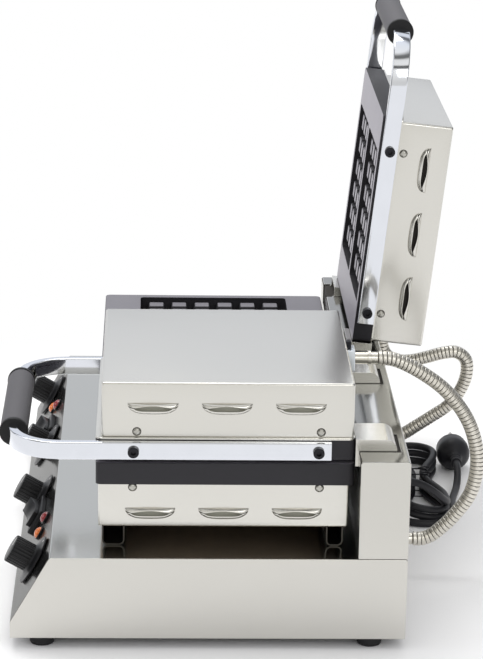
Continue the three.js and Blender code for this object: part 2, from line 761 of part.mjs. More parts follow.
// Hose routes in Y and Z, from the lid's gland to the base's gland
const LID_END_Y = COVER_REAR_Y + LID_GLAND_END + GAP;
const BASE_END_Y = DEPTH + BASE_GLAND_END + GAP;
const HOSE_ROUTES = {
  right: [[LID_END_Y, HOSE_LID_Z], [342, HOSE_LID_Z], [352, 203.4], [374, 193], [402, 172], [424, 141],
    [433, 105], [428, 72], [412, 47.5], [401, 36], [392, 28.6], [384, 25.3], [380, HOSE_BASE_Z],
    [BASE_END_Y, HOSE_BASE_Z]],
  left: [turnedPoint(LID_END_Y, HOSE_LID_Z), turnedPoint(LID_END_Y + 6, HOSE_LID_Z), [366.3, 124],
    [371, 115], [381, 109.5], [396, 109], [412, 112.5], [430, 117.5], [444, 118.5], [454, 111], [456, 97],
    [451, 79], [439, 61], [420, 47], [403, 35.5], [393, 28.9], [384, 25.3], [380, HOSE_BASE_Z],
    [BASE_END_Y, HOSE_BASE_Z]],
};

// A point of the lid's Y and Z plane, turned with the lid to its open place
function turnedPoint(y, z) {
  const angle = OPEN_DEGREES * RADIANS;
  const dy = y - HINGE_Y;
  const dz = z - HINGE_Z;
  return [
    HINGE_Y + dy * Math.cos(angle) + dz * Math.sin(angle),
    HINGE_Z - dy * Math.sin(angle) + dz * Math.cos(angle),
  ];
}

// Point of the hank after a number of turns from the near end of its top layer. A turn is the rear
// run, the far fold, the front run and the near fold, in which the lead steps down to the next layer
function hankPoint(turns) {
  const layer = Math.floor(turns);
  const quarters = 4 * (turns - layer);
  const stretch = Math.floor(quarters);
  const t = quarters - stretch;
  const run = HANK_RUN_HALF;
  const alongRun = run * (1 - 2 * t);
  const angle = Math.PI * (t + 0.5);
  const foldX = HANK_FOLD_RADIUS * Math.cos(angle);
  const foldY = HANK_FOLD_RADIUS * Math.sin(angle);
  const [x, y] = [
    [alongRun, HANK_FOLD_RADIUS],
    [foldX - run, foldY],
    [-alongRun, -HANK_FOLD_RADIUS],
    [run - foldX, -foldY],
  ][stretch];
  const fromMiddle = Math.min(1, Math.abs(x) / run);
  const waist = 1 - HANK_WAIST * Math.cos((Math.PI / 2) * fromMiddle) ** 2;
  const down = stretch === 3 ? layer + t * t * (3 - 2 * t) : layer;
  return new THREE.Vector3(HANK_CENTRE_X + x, HANK_CENTRE_Y + y * waist, HANK_TOP_Z - down * HANK_LAYER_STEP);
}

class HankCurve extends THREE.Curve {
  constructor(turns) {
    super();
    this.turns = turns;
  }

  getPoint(t) {
    return hankPoint(t * this.turns);
  }
}

// The least gap between stretches of the hank that aren't neighbours along the cord
function leastGap(points, diameter, step) {
  let least = Infinity;
  const skip = Math.ceil((3 * diameter) / step);
  for (let i = 0; i < points.length; i += 1) {
    for (let j = i + skip; j < points.length; j += 1) {
      least = Math.min(least, points[i].distanceTo(points[j]));
    }
  }
  return least - diameter;
}

// Joined tube with rings at the given points
function roundTube(points, radius, sides) {
  const positions = [];
  const triangles = [];
  const side = new THREE.Vector3(0, 0, 1);
  points.forEach((point, i) => {
    const before = points[Math.max(0, i - 1)];
    const after = points[Math.min(points.length - 1, i + 1)];
    const ahead = after.clone().sub(before).normalize();
    const up = new THREE.Vector3().crossVectors(ahead, side).normalize();
    const out = new THREE.Vector3().crossVectors(up, ahead).normalize();
    for (let k = 0; k < sides; k += 1) {
      const angle = (2 * Math.PI * (k + 0.5)) / sides;
      const p = point.clone()
        .addScaledVector(out, radius * Math.cos(angle))
        .addScaledVector(up, radius * Math.sin(angle));
      positions.push(p.x, p.y, p.z);
    }
    if (i > 0) {
      const a = (i - 1) * sides;
      const b = i * sides;
      for (let k = 0; k < sides; k += 1) {
        const next = (k + 1) % sides;
        triangles.push(a + k, a + next, b + k, b + k, a + next, b + next);
      }
    }
  });
  const last = (points.length - 1) * sides;
  for (let k = 1; k < sides - 1; k += 1) {
    triangles.push(0, k + 1, k);
    triangles.push(last, last + k, last + k + 1);
  }
  const geometry = new THREE.BufferGeometry();
  geometry.setAttribute('position', new THREE.Float32BufferAttribute(positions, 3));
  geometry.setIndex(triangles);
  geometry.computeVertexNormals();
  return geometry;
}

function hank() {
  const curve = new HankCurve(HANK_TURNS);
  const fine = curve.getPoints(Math.round(HANK_TURNS * 120));
  const length = curve.getLength();
  const gap = leastGap(fine, 2 * CORD_RADIUS, length / fine.length);
  console.log(`hank: ${length.toFixed(0)} mm of lead, least gap to itself ${gap.toFixed(2)} mm`);
  const points = curve.getPoints(Math.round(HANK_TURNS * HANK_STEPS_PER_TURN));
  return roundTube(points, CORD_RADIUS, 6);
}

// Strain relief: a ribbed, tapered sleeve along Z
function strainRelief() {
  const profile = [[CORD_RADIUS + GAP, -4], [GLAND_STEM, -4], [GLAND_STEM, GAP], [8, GAP], [8, 3]];
  const ribs = 3;
  for (let i = 0; i < ribs; i += 1) {
    const z = 4 + (i * (RELIEF_LENGTH - 5)) / ribs;
    const radius = 7.2 - i * 0.8;
    profile.push([radius, z], [radius, z + 3.6], [radius - 1.2, z + 4.6]);
  }
  profile.push([4.9, RELIEF_LENGTH], [CORD_RADIUS + GAP, RELIEF_LENGTH]);
  return turnedRing(profile, 8);
}

// Lead from the strain relief to the hank, and tail from the hank to the plug
const HANK_START = hankPoint(0);
const HANK_END = hankPoint(HANK_TURNS);

// The lead swings a quarter turn to the hank while it sinks onto it
function mainsLead() {
  const straightEnd = DEPTH + RELIEF_LENGTH + 1;
  const { x, y, z } = HANK_START;
  const lastX = x + 8;
  const points = [[CORD_EXIT_X, straightEnd - 7, CORD_EXIT_Z]];
  const quarterSteps = 6;
  for (let i = 0; i <= quarterSteps; i += 1) {
    const t = i / quarterSteps;
    const angle = (t * Math.PI) / 2;
    const sunk = t * t * (3 - 2 * t);
    points.push([
      lastX + (CORD_EXIT_X - lastX) * Math.cos(angle),
      straightEnd + (y - straightEnd) * Math.sin(angle),
      CORD_EXIT_Z + (z - CORD_EXIT_Z) * sunk,
    ]);
  }
  points.push([x + 4, y, z], [x + GAP, y, z]);
  return tube(curveThrough(points), CORD_RADIUS, 18, 8);
}

// The tail leaves the lowest layer, folds back outside the hank and runs beside it to the plug
function plugTail() {
  const { x, y, z } = HANK_END;
  const nearX = HANK_CENTRE_X + HANK_RUN_HALF;
  const before = hankPoint(HANK_TURNS - 0.01);
  const ahead = HANK_END.clone().sub(before).normalize();
  const start = [GAP, 5].map((step) => [x + ahead.x * step, y + ahead.y * step, z]);
  const points = [...start, [x + 18, y - 5.6, z], [x + 34, y - 10.6, z]];
  const foldSteps = 6;
  for (let i = 0; i <= foldSteps; i += 1) {
    const angle = Math.PI * (i / foldSteps - 0.5);
    points.push([
      nearX + TAIL_FOLD_RADIUS * Math.cos(angle),
      HANK_CENTRE_Y + TAIL_FOLD_RADIUS * Math.sin(angle),
      z,
    ]);
  }
  const rearY = HANK_CENTRE_Y + TAIL_FOLD_RADIUS;
  points.push(
    [nearX - 20, rearY + 0.6, z],
    [nearX - 40, rearY + 3, z],
    [nearX - 58, rearY + 7, z],
    [PLUG_X + 40, rearY + 10.4, z + 1],
    [PLUG_X + 26, PLUG_Y - 1, z + 5.4],
    [PLUG_X + 14, PLUG_Y, PLUG_Z - 2.6],
    [PLUG_X + 5, PLUG_Y, PLUG_Z],
    [PLUG_X + GAP, PLUG_Y, PLUG_Z],
  );
  return tube(curveThrough(points), CORD_RADIUS, 32, 8);
}

// Round two-pin plug with a tapered boot, drawn along Z from the cord's end
function mainsPlug() {
  const body = turned([[0, 0], [5.5, 0], [7.5, 14], [12, 18], [16, 24], [PLUG_RADIUS, 30],
    [PLUG_RADIUS, 38], [16.5, 40], [16.5, 47], [0, 47]], 12);
  const pins = [1, -1].map((sign) => rod('z', 2.4, 20, sign * 9.5, 0, 56, 8));
  return join(body, ...pins);
}

// Assembly
const machine = new THREE.Group();

function addBase() {
  machine.add(part('base_shell', baseShell(), steel()));
  machine.add(part('bottom_plate', bottomPlate(), steel()));
  machine.add(part('riser_housing', riserHousing(), mirrorSteel()));
  for (const [side, sign] of [['right', 1], ['left', -1]]) {
    for (const [end, y] of [['front', FOOT_FRONT_Y], ['rear', FOOT_REAR_Y]]) {
      const x = sign * (WIDTH / 2 - FOOT_INSET_X);
      machine.add(place(part(`foot_${end}_${side}`, foot(), rubber()), x, y, 0));
    }
  }
}

// One half of the panel: controls, switch and lamps on the slope
function addPanel(iron) {
  const panel = new THREE.Group();
  slopeFrame.decompose(panel.position, panel.quaternion, panel.scale);
  const at = panelPlaces(Math.sign(iron.x));
  const put = (name, geometry, finish, [x, y], z = 0) => {
    const mesh = place(part(`${name}_${iron.side}`, geometry, finish), x, y, z);
    panel.add(mesh);
    return mesh;
  };
  put('thermostat_knob', knob(), blackPlastic(), at.thermostat);
  put('timer_knob', knob(), blackPlastic(), at.timer);
  put('thermostat_body', controlBody(42, 34, 26), steel(), at.thermostat);
  put('timer_body', controlBody(38, 38, 22), steel(), at.timer);
  put('switch_frame', switchFrame(), blackPlastic(), at.power);
  const tilt = 9 * RADIANS;
  put('switch_rocker', rocker(), blackPlastic(), at.power, 1).rotation.y = tilt;
  put('amber_lamp', pilotLamp(), amber(), at.amber);
  put('red_lamp', pilotLamp(), red(), at.red);
  machine.add(panel);
}

function addLowerIron(iron) {
  const group = place(new THREE.Group(), iron.x, 0, 0);
  const side = iron.side;
  group.add(part(`lower_casing_${side}`, lowerCasing(), steel()));
  group.add(part(`lower_plate_${side}`, wafflePlate(LOWER_PLATE_Z, PARTING_Z, true), castIron()));
  group.add(part(`lower_element_${side}`, heatingElement(LOWER_PLATE_Z - 4), steel()));
  group.add(part(`hinge_bracket_${side}`, hingeBracket(), steel()));
  group.add(part(`hinge_shaft_${side}`, hingeShaft(), steel()));
  const wallGland = part(`base_gland_${side}`, baseGland(), nickel());
  wallGland.rotation.x = -Math.PI / 2;
  group.add(place(wallGland, HOSE_OFFSET_X, DEPTH, HOSE_BASE_Z));
  machine.add(group);
}

// A lid is drawn closed and turned about its shaft
function addLid(iron) {
  const turn = place(new THREE.Group(), iron.x, HINGE_Y, HINGE_Z);
  turn.rotation.x = -iron.open * RADIANS;
  const lid = place(new THREE.Group(), 0, -HINGE_Y, -HINGE_Z);
  const side = iron.side;
  const upperPlate = wafflePlate(PARTING_Z + PARTING_GAP, UPPER_PLATE_TOP, false);
  lid.add(part(`upper_plate_${side}`, upperPlate, castIron()));
  lid.add(part(`lid_flange_${side}`, lidFlange(), steel()));
  lid.add(part(`lid_cover_${side}`, lidCover(), steel()));
  lid.add(part(`upper_element_${side}`, heatingElement(UPPER_PLATE_TOP + 4), steel()));
  lid.add(part(`handle_bar_${side}`, handleBar(), chrome()));
  lid.add(part(`handle_grip_${side}`, grip(), gripPlastic()));
  for (const [end, sign] of [['outer', Math.sign(iron.x)], ['inner', -Math.sign(iron.x)]]) {
    lid.add(place(part(`hinge_arm_${end}_${side}`, hingeArm(), steel()), sign * ARM_OFFSET_X, 0, 0));
  }
  const rearGland = part(`lid_gland_${side}`, lidGland(), nickel());
  rearGland.rotation.x = -Math.PI / 2;
  lid.add(place(rearGland, HOSE_OFFSET_X, COVER_REAR_Y, HOSE_LID_Z));
  turn.add(lid);
  machine.add(turn);
}

function addHose(iron) {
  const x = iron.x + HOSE_OFFSET_X;
  const curve = curveThrough(HOSE_ROUTES[iron.side].map(([y, z]) => [x, y, z]));
  console.log(`hose ${iron.side}: ${curve.getLength().toFixed(0)} mm`);
  machine.add(part(`hose_${iron.side}`, ribbedHose(curve, HOSE_RIBS), nickel()));
}

function addMainsLead() {
  const relief = place(part('strain_relief', strainRelief(), rubber()), CORD_EXIT_X, DEPTH, CORD_EXIT_Z);
  relief.rotation.x = -Math.PI / 2;
  machine.add(relief);
  machine.add(part('cord_lead', mainsLead(), cordBlack()));
  machine.add(part('cord_hank', hank(), cordBlack()));
  machine.add(part('cord_tail', plugTail(), cordBlack()));
  const plug = place(part('mains_plug', mainsPlug(), blackPlastic()), PLUG_X, PLUG_Y, PLUG_Z);
  plug.rotation.y = -Math.PI / 2;
  machine.add(plug);
}

addBase();
for (const iron of IRONS) {
  addPanel(iron);
  addLowerIron(iron);
  addLid(iron);
  addHose(iron);
}
addMainsLead();

// The origin is under the middle of the machine, on the surface that it stands on
const foremost = GRIP_Y - GRIP_RADIUS;
const rearmost = turnedPoint(COVER_FRONT_Y, COVER_TOP_Z)[0];
machine.position.set(0, -(foremost + rearmost) / 2, FOOT_HEIGHT);

export default machine;
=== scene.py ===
"""A double waffle maker for the counter, dressed for rendering on its packed frame.

Sizes are millimetres in the machine's own axes unless a name says metres: X runs to the right seen
from the front, Y to the rear and Z up, with the base's front edge at Y 0 and its underside at Z 0.
The right lid is closed and the left lid is open.
"""

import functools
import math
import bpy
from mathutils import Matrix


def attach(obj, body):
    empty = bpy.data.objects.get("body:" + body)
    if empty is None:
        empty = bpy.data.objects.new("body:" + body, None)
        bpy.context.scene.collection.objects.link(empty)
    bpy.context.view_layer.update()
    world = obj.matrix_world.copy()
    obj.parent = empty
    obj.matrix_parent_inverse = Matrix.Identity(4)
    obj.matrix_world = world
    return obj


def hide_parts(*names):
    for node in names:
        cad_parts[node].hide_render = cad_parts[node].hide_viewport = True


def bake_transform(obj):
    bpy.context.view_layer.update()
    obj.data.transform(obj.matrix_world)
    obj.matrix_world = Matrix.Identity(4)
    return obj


bl_info = {
    "name": "Double Waffle Maker",
    "version": (1, 0, 0),
    "blender": (4, 5, 0),
    "location": "View3D > Sidebar > Waffle",
    "description": "Builds the pieces, finishes and stage of a double waffle maker on its frame",
    "category": "Add Mesh",
}

import bmesh
import bpy
from bpy.props import FloatProperty, FloatVectorProperty, IntProperty, PointerProperty
from mathutils import Matrix, Vector

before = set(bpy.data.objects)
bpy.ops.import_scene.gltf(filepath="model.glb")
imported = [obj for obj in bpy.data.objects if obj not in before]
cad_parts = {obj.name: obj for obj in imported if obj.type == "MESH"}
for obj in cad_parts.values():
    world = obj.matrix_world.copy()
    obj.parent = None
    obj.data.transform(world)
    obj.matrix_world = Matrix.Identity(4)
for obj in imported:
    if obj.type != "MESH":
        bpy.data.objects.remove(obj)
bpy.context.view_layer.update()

MM = 0.001
# Edges sharper than this many degrees are rounded
SHARP_EDGE = 28

# Base
WIDTH = 600
DEPTH = 352
FRONT_LIP = 15.5
FOLD_Y = 35
DECK_Z = 76
BASE_SHEET = 1.5
BASE_FOLD_RADIUS = 2.2
KNOB_HOLE_RADIUS = 5
LAMP_HOLE_RADIUS = 4.8
LEAD_HOLE_RADIUS = 5.4
WIRE_HOLE_RADIUS = 9
RISER_FRONT_Y = 308
RISER_TOP_Z = 167
ARM_SLOT_REAR_Y = 345
ARM_SLOT_LOW_Z = 146
FOOT_HEIGHT = 10
FOOT_RADIUS = 12
FOOT_X = 284
FOOT_YS = {"front": 28, "rear": 321}

# Irons
IRON_X = 150
PLATE_WIDTH = 238
PLATE_FRONT_Y = 75.2
PLATE_REAR_Y = 304.7
CASING_WIDTH = 234
CASING_FRONT_Y = 77.5
CASING_REAR_Y = 300
CASING_Z = 94
LOWER_PLATE_Z = 134.3
PARTING_Z = 154.5
PARTING_GAP = 3.5
UPPER_PLATE_TOP = 176.2
FLANGE_SHEET = 1.5
FLANGE_RIM = 12
COVER_WIDTH = 231.6
COVER_FRONT_Y = 80.3
COVER_REAR_Y = 303.7
COVER_TOP_Z = 227.8
COVER_LOW_Z = UPPER_PLATE_TOP + FLANGE_SHEET + 0.6
WALL = 1.2
PEG_BELOW_RIM = 3
FIELD_WIDTH = 105
FIELD_LENGTH = 154.6
FIELD_MIDDLE_Y = 112.3 + FIELD_LENGTH / 2
FIELD_OFFSET_X = 57
RAILS_Y = ((81, 101), (281, 296))
# The two screws of a side wall: their middle in Y, their height and their distance
CASING_SCREWS = (191, 131.2, 166)
COVER_SCREWS = (193, 182.8, 163)

# Hinges
HINGE_Y = 322
HINGE_Z = 159.5
OPEN_DEGREES = 96
ARM_X = 98
ARM_HALF_WIDTH = 23

# Handles
BAR_HEIGHT = 16
BAR_THICKNESS = 8
BAR_Z = 168
BAR_REAR_Y = 283.3
BAR_BEND_RADIUS = 44
BAR_OUTER_X = PLATE_WIDTH / 2 + 0.3 + BAR_THICKNESS
BAR_SCREWS = (190.3, BAR_Z, 163.4)
GRIP_Y = 1
GRIP_LENGTH = 154

# Louvres
LOUVRE_LENGTH = 45
LOUVRE_HEIGHT = 10
LOUVRE_RISE = 4.5
LOUVRE_PITCH = 65.3
LOUVRES_PER_SIDE = 3
CASING_LOUVRES = (CASING_WIDTH / 2, 189, 111.5)
COVER_LOUVRES = (COVER_WIDTH / 2, 191, 209)

# Front panel, measured up the slope; the lamps have their X and their height over the knobs' middles
PANEL_MID = 40
KNOBS = {"thermostat": 240, "timer": 75}
LAMPS = {"amber": (183, 5), "red": (166, 15)}
SWITCH_X = 122
SWITCH_UP = PANEL_MID - 2
SWITCH_BODY = (40, 21)

# Hoses and their glands
HOSE_OFFSET_X = -35
HOSE_LID_Z = 205
HOSE_BASE_Z = 25
GLAND_RADIUS = 5.8
GLAND_BORE = 3.8
LID_GLAND_BLOCK = 20
LID_GLAND_END = 32
BASE_GLAND_END = 22

# Mains lead
CORD_EXIT_X = 10
CORD_EXIT_Z = 45
RELIEF_LENGTH = 24
PLUG_RADIUS = 17.5
PLUG_X = -150
PLUG_Y = 444.6
PLUG_Z = -FOOT_HEIGHT + PLUG_RADIUS
HANK_TURNS = 2.66
HANK_FOLD_RADIUS = 22.5
HANK_RUN_HALF = 68.5
HANK_LAYER_STEP = 8.1
HANK_WAIST = 0.75
HANK_CENTRE_X = -106
HANK_CENTRE_Y = 400
HANK_TOP_Z = -FOOT_HEIGHT + 3.95 + 2 * HANK_LAYER_STEP
TAIL_FOLD_RADIUS = 30.6

# Camera and floor, in metres and radians
CAMERA_PLACE = (2.5545, -0.0794, 0.9765)
CAMERA_DOWN = 0.2923
CAMERA_TURN = 0.0349
CAMERA_ROLL = 0.0171
CAMERA_LENS = 149.64
FLOOR_HALF = 4.0
FLOOR_REACH = 0.68

# Bands of the room that surfaces reflect: height from the floor up to 1, and brightness
ROOM_BANDS = (
    (0.0, 0.72), (0.2, 0.86), (0.4, 0.93), (0.5, 0.9), (0.54, 0.12), (0.6, 0.1),
    (0.64, 0.95), (0.78, 0.9), (0.83, 0.15), (0.88, 0.2), (0.94, 1.0),
)

SIDES = {"right": 1, "left": -1}


def turned_point(y, z):
    """A point of a closed lid's Y and Z plane, turned with the lid to its open place."""
    angle = math.radians(OPEN_DEGREES)
    dy, dz = y - HINGE_Y, z - HINGE_Z
    return (
        HINGE_Y + dy * math.cos(angle) + dz * math.sin(angle),
        HINGE_Z - dy * math.sin(angle) + dz * math.cos(angle),
    )


FOREMOST_Y = GRIP_Y - 12.5
REARMOST_Y = turned_point(COVER_FRONT_Y, COVER_TOP_Z)[0]
SHIFT_Y = -(FOREMOST_Y + REARMOST_Y) / 2

# From the machine's millimetres to metres in the shared frame
MACHINE = Matrix.Scale(MM, 4) @ Matrix.Translation((0, SHIFT_Y, FOOT_HEIGHT))


def iron_place(side):
    """The place of one iron's fixed pieces, drawn about the iron's own middle."""
    return MACHINE @ Matrix.Translation((SIDES[side] * IRON_X, 0, 0))


def lid_place(side):
    """The place of one lid's pieces, which are drawn closed."""
    hinge = Matrix.Translation((0, HINGE_Y, HINGE_Z))
    opened = OPEN_DEGREES if side == "left" else 0
    return iron_place(side) @ hinge @ Matrix.Rotation(-math.radians(opened), 4, "X") @ hinge.inverted()


def slope_place():
    """The front panel: X along it, Y up the slope and Z out of it."""
    up = Vector((0, FOLD_Y, DECK_Z - FRONT_LIP)).normalized()
    along = Vector((1, 0, 0))
    out = along.cross(up)
    axes = Matrix((along, up, out)).transposed().to_4x4()
    return MACHINE @ Matrix.Translation((0, 0, FRONT_LIP)) @ axes


def wall_place(place, x, y, z):
    """A place for pieces turned about Z that stand out of a rear wall."""
    return place @ Matrix.Translation((x, y, z)) @ Matrix.Rotation(-math.pi / 2, 4, "X")


def opposite(middle_y):
    """A half turn about the upright line through an iron's middle."""
    middle = Matrix.Translation((0, middle_y, 0))
    return middle @ Matrix.Rotation(math.pi, 4, "Z") @ middle.inverted()


# Sizes and colours that a user may change
def size(name, description, millimetres):
    metres = millimetres * MM
    return FloatProperty(name=name, description=description, default=metres, unit="LENGTH", precision=5)


def colour(name, description, value):
    return FloatVectorProperty(
        name=name, description=description, default=value, size=3, subtype="COLOR", min=0, max=1
    )


def share(name, description, value):
    return FloatProperty(name=name, description=description, default=value, min=0, max=1, subtype="FACTOR")


class WaffleStageSettings(bpy.types.PropertyGroup):
    """The floor, the lamps and the room."""

    floor_colour: colour("Floor", "Colour of the floor", (0.95, 0.95, 0.96))
    lamp_power: FloatProperty(name="Lamps", description="Power of the upper lamp", default=21, unit="POWER")
    room_level: share("Room", "How bright the room is for matt surfaces", 0.84)


class WaffleSteelSettings(bpy.types.PropertyGroup):
    """Folded sheet steel of the base, the casings and the covers."""

    sheet_colour: colour("Sheet", "Colour of the folded sheets", (0.72, 0.705, 0.66))
    deck_colour: colour("Deck", "Colour of the brighter rolled deck and riser top", (0.5, 0.5, 0.475))
    sheet_roughness: share("Roughness", "How satin the sheets are", 0.2)
    fold_radius: size("Fold radius", "Rounding of the sheets' outer folds", 0.9)


class WaffleIronSettings(bpy.types.PropertyGroup):
    """Cast waffle plates."""

    pegs_across: IntProperty(name="Pegs across", description="Pegs across one waffle", default=4, min=1)
    pegs_deep: IntProperty(name="Pegs deep", description="Pegs along one waffle", default=6, min=1)
    peg_pitch: size("Peg pitch", "Distance between two pegs", 24.15)
    peg_top: size("Peg top", "Width of a peg's flat top", 15.6)
    peg_foot: size("Peg foot", "Width of a peg at its foot", 18.6)
    field_depth: size("Field depth", "Depth of the recess that the pegs stand in", 14)
    casting_colour: colour("Casting", "Colour of the cast surface", (0.02, 0.019, 0.0235))
    rim_colour: colour("Rim", "Colour of the ground rims and peg tops", (0.21, 0.2, 0.225))


class WaffleHandleSettings(bpy.types.PropertyGroup):
    """Bars and grips."""

    chrome_colour: colour("Chrome", "Colour of the bars", (0.77, 0.79, 0.84))
    grip_colour: colour("Grip", "Colour of the grips", (0.095, 0.092, 0.1))
    grip_radius: size("Grip radius", "Radius of the grips", 12.5)


class WafflePanelSettings(bpy.types.PropertyGroup):
    """Knobs, switches and lamps of the front panel."""

    knob_radius: size("Knob radius", "Radius of a knob's skirt", 23.5)
    knob_height: size("Knob height", "Height of a knob above the panel", 25)
    knob_colour: colour("Knob", "Colour of the knobs and switches", (0.006, 0.006, 0.007))
    amber_colour: colour("Amber", "Colour of the amber lens", (0.85, 0.2, 0.03))
    red_colour: colour("Red", "Colour of the red lens", (0.3, 0.02, 0.025))


class WaffleLeadSettings(bpy.types.PropertyGroup):
    """Mains lead and ribbed hoses."""

    cord_radius: size("Cord radius", "Radius of the mains lead", 3.75)
    cord_colour: colour("Cord", "Colour of the mains lead", (0.018, 0.018, 0.021))
    hose_crest: size("Hose crest", "Outer radius of a hose at its ribs", 6.7)
    hose_groove: size("Hose groove", "Radius of a hose between its ribs", 5.9)
    hose_pitch: size("Hose pitch", "Distance between two ribs", 4)
    hose_colour: colour("Hose", "Colour of the plated hoses", (0.76, 0.73, 0.66))


# Node trees
class Nodes:
    """A node tree that is filled node by node."""

    def __init__(self, tree):
        self.tree = tree

    def node(self, kind, settings=None, inputs=None):
        made = self.tree.nodes.new(kind)
        for name, value in (settings or {}).items():
            setattr(made, name, value)
        for name, value in (inputs or {}).items():
            self.feed(made.inputs[name], value)
        return made

    def feed(self, socket, value):
        """Links a socket to what another node gives, or sets its plain value."""
        if isinstance(value, Amount):
            value = value.socket
        if isinstance(value, bpy.types.NodeSocket):
            self.tree.links.new(value, socket)
        elif socket.type == "RGBA" and len(value) == 3:
            socket.default_value = (*value, 1)
        else:
            socket.default_value = value

    def math(self, operation, *values):
        made = self.node("ShaderNodeMath", {"operation": operation}, dict(enumerate(values)))
        return Amount(self, made.outputs[0])

    def vector(self, operation, inputs):
        return self.node("ShaderNodeVectorMath", {"operation": operation}, inputs).outputs

    def mixed(self, amount, low, high):
        """A colour between two, by an amount."""
        return self.node("ShaderNodeMix", {"data_type": "RGBA"}, {0: amount, 6: low, 7: high}).outputs[2]

    def mixed_shaders(self, amount, first, second):
        shaders = {0: amount, 1: first.outputs[0], 2: second.outputs[0]}
        return self.node("ShaderNodeMixShader", {}, shaders)


class Amount:
    """A number that comes out of a node; sums and products of it add Math nodes."""

    def __init__(self, nodes, socket):
        self.nodes = nodes
        self.socket = socket

    def __add__(self, other):
        return self.nodes.math("ADD", self, other)

    __radd__ = __add__

    def __mul__(self, other):
        return self.nodes.math("MULTIPLY", self, other)

    def __sub__(self, other):
        return self.nodes.math("SUBTRACT", self, other)

    def __rsub__(self, other):
        return self.nodes.math("SUBTRACT", other, self)

    def between(self, low, high):
        """0 below low, 1 above high and a soft step between."""
        sockets = {"Value": self, "From Min": low, "From Max": high}
        made = self.nodes.node("ShaderNodeMapRange", {"interpolation_type": "SMOOTHSTEP"}, sockets)
        return Amount(self.nodes, made.outputs["Result"])


class Finish(Nodes):
    """A material of one surface finish."""

    def __init__(self, name):
        self.material = bpy.data.materials.new(name)
        self.material.use_nodes = True
        super().__init__(self.material.node_tree)
        self.tree.nodes.clear()
        self.surface = self.node("ShaderNodeBsdfPrincipled")
        self.output = self.node("ShaderNodeOutputMaterial", {}, {"Surface": self.surface.outputs[0]})
        self.place = self.node("ShaderNodeTexCoord").outputs["Object"]

    def put(self, **values):
        """Feeds the surface's own sockets; an underscore stands for a space."""
        for name, value in values.items():
            self.feed(self.surface.inputs[name.replace("_", " ")], value)

    def scaled(self, per_metre):
        mapping = self.node("ShaderNodeMapping", {}, {"Vector": self.place, "Scale": per_metre})
        return mapping.outputs["Vector"]

    def noise(self, per_metre, detail=3.0, roughness=0.5):
        sockets = {"Vector": self.scaled(per_metre), "Scale": 1.0, "Detail": detail, "Roughness": roughness}
        return Amount(self, self.node("ShaderNodeTexNoise", {}, sockets).outputs["Fac"])

    def cells(self, per_metre):
        sockets = {"Vector": self.scaled(per_metre), "Scale": 1.0}
        return Amount(self, self.node("ShaderNodeTexVoronoi", {}, sockets).outputs["Distance"])

    def bump(self, height, depth, strength=1.0):
        """A relief whose full height is depth, in metres."""
        sockets = {"Height": height, "Distance": depth, "Strength": strength}
        self.put(Normal=self.node("ShaderNodeBump", {}, sockets).outputs[0])


def shaded(tone, factor):
    return tuple(min(1.0, channel * factor) for channel in tone)


def rolled_steel(name, tone, roughness, grain, glance=1.0):
    """Stainless sheet with a fine rolled grain, faint clouds and wiping marks; glance dims flat angles."""
    finish = Finish(name)
    fine = finish.noise(grain, 5.0, 0.65)
    clouds = finish.noise((7, 7, 7), 1.0)
    wiped = finish.noise((11, 17, 14), 1.5, 0.5).between(0.45, 0.75)
    finish.put(
        Base_Color=finish.mixed(fine * 0.3 + clouds * 0.7, shaded(tone, 0.95), shaded(tone, 1.04)),
        Metallic=1.0,
        Roughness=roughness + fine * 0.03 + clouds * 0.04 + wiped * 0.02,
        Specular_Tint=(glance, glance, glance),
    )
    finish.bump(fine, 0.000001, 0.2)
    return finish.material


def cast_metal(name, tone, roughness, pits):
    """Seasoned casting: grainy, with darker pores."""
    finish = Finish(name)
    grain = finish.noise((700, 700, 700), 4.0, 0.6)
    stains = finish.noise((30, 30, 30), 3.0, 0.6)
    pores = finish.cells((520, 520, 520)).between(0.05, 0.3)
    finish.put(
        Base_Color=finish.mixed(grain * 0.5 + stains * 0.5, shaded(tone, 0.7), shaded(tone, 1.35)),
        Metallic=0.25,
        Roughness=roughness + grain * 0.12 + stains * 0.1,
    )
    finish.bump(grain * 0.6 + pores * 0.4, pits, 0.6)
    return finish.material


def bright_metal(name, tone, roughness):
    """Plated or polished metal with faint haze and handling marks."""
    finish = Finish(name)
    haze = finish.noise((60, 60, 60), 3.0, 0.6)
    hairs = finish.noise((40, 900, 900), 3.0, 0.6)
    finish.put(
        Base_Color=finish.mixed(haze, shaded(tone, 0.95), shaded(tone, 1.03)),
        Metallic=1.0,
        Roughness=roughness + haze * 0.05 + hairs * 0.03,
    )
    finish.bump(hairs, 0.000004, 0.3)
    return finish.material


def moulded(name, tone, roughness, grain_per_metre, depth):
    """Plastic or rubber with a moulded grain and slight wear."""
    finish = Finish(name)
    grain = finish.noise((grain_per_metre,) * 3, 3.0, 0.6)
    wear = finish.noise((35, 35, 35), 3.0, 0.6)
    finish.put(
        Base_Color=finish.mixed(grain * 0.5 + wear * 0.5, shaded(tone, 0.75), shaded(tone, 1.3)),
        Roughness=roughness + wear * 0.14 - 0.07,
        Specular_IOR_Level=0.3,
    )
    finish.bump(grain, depth, 0.6)
    return finish.material


def lens(name, tone):
    """Ribbed lamp lens that glows from behind."""
    finish = Finish(name)
    ribs = finish.cells((900, 900, 900)).between(0.1, 0.7)
    finish.put(
        Base_Color=finish.mixed(ribs, shaded(tone, 0.4), shaded(tone, 0.8)),
        Emission_Color=finish.mixed(ribs, shaded(tone, 0.5), shaded(tone, 1.2)),
        Emission_Strength=0.07,
        Roughness=ribs * 0.1 + 0.12,
        Coat_Weight=0.5,
    )
    return finish.material


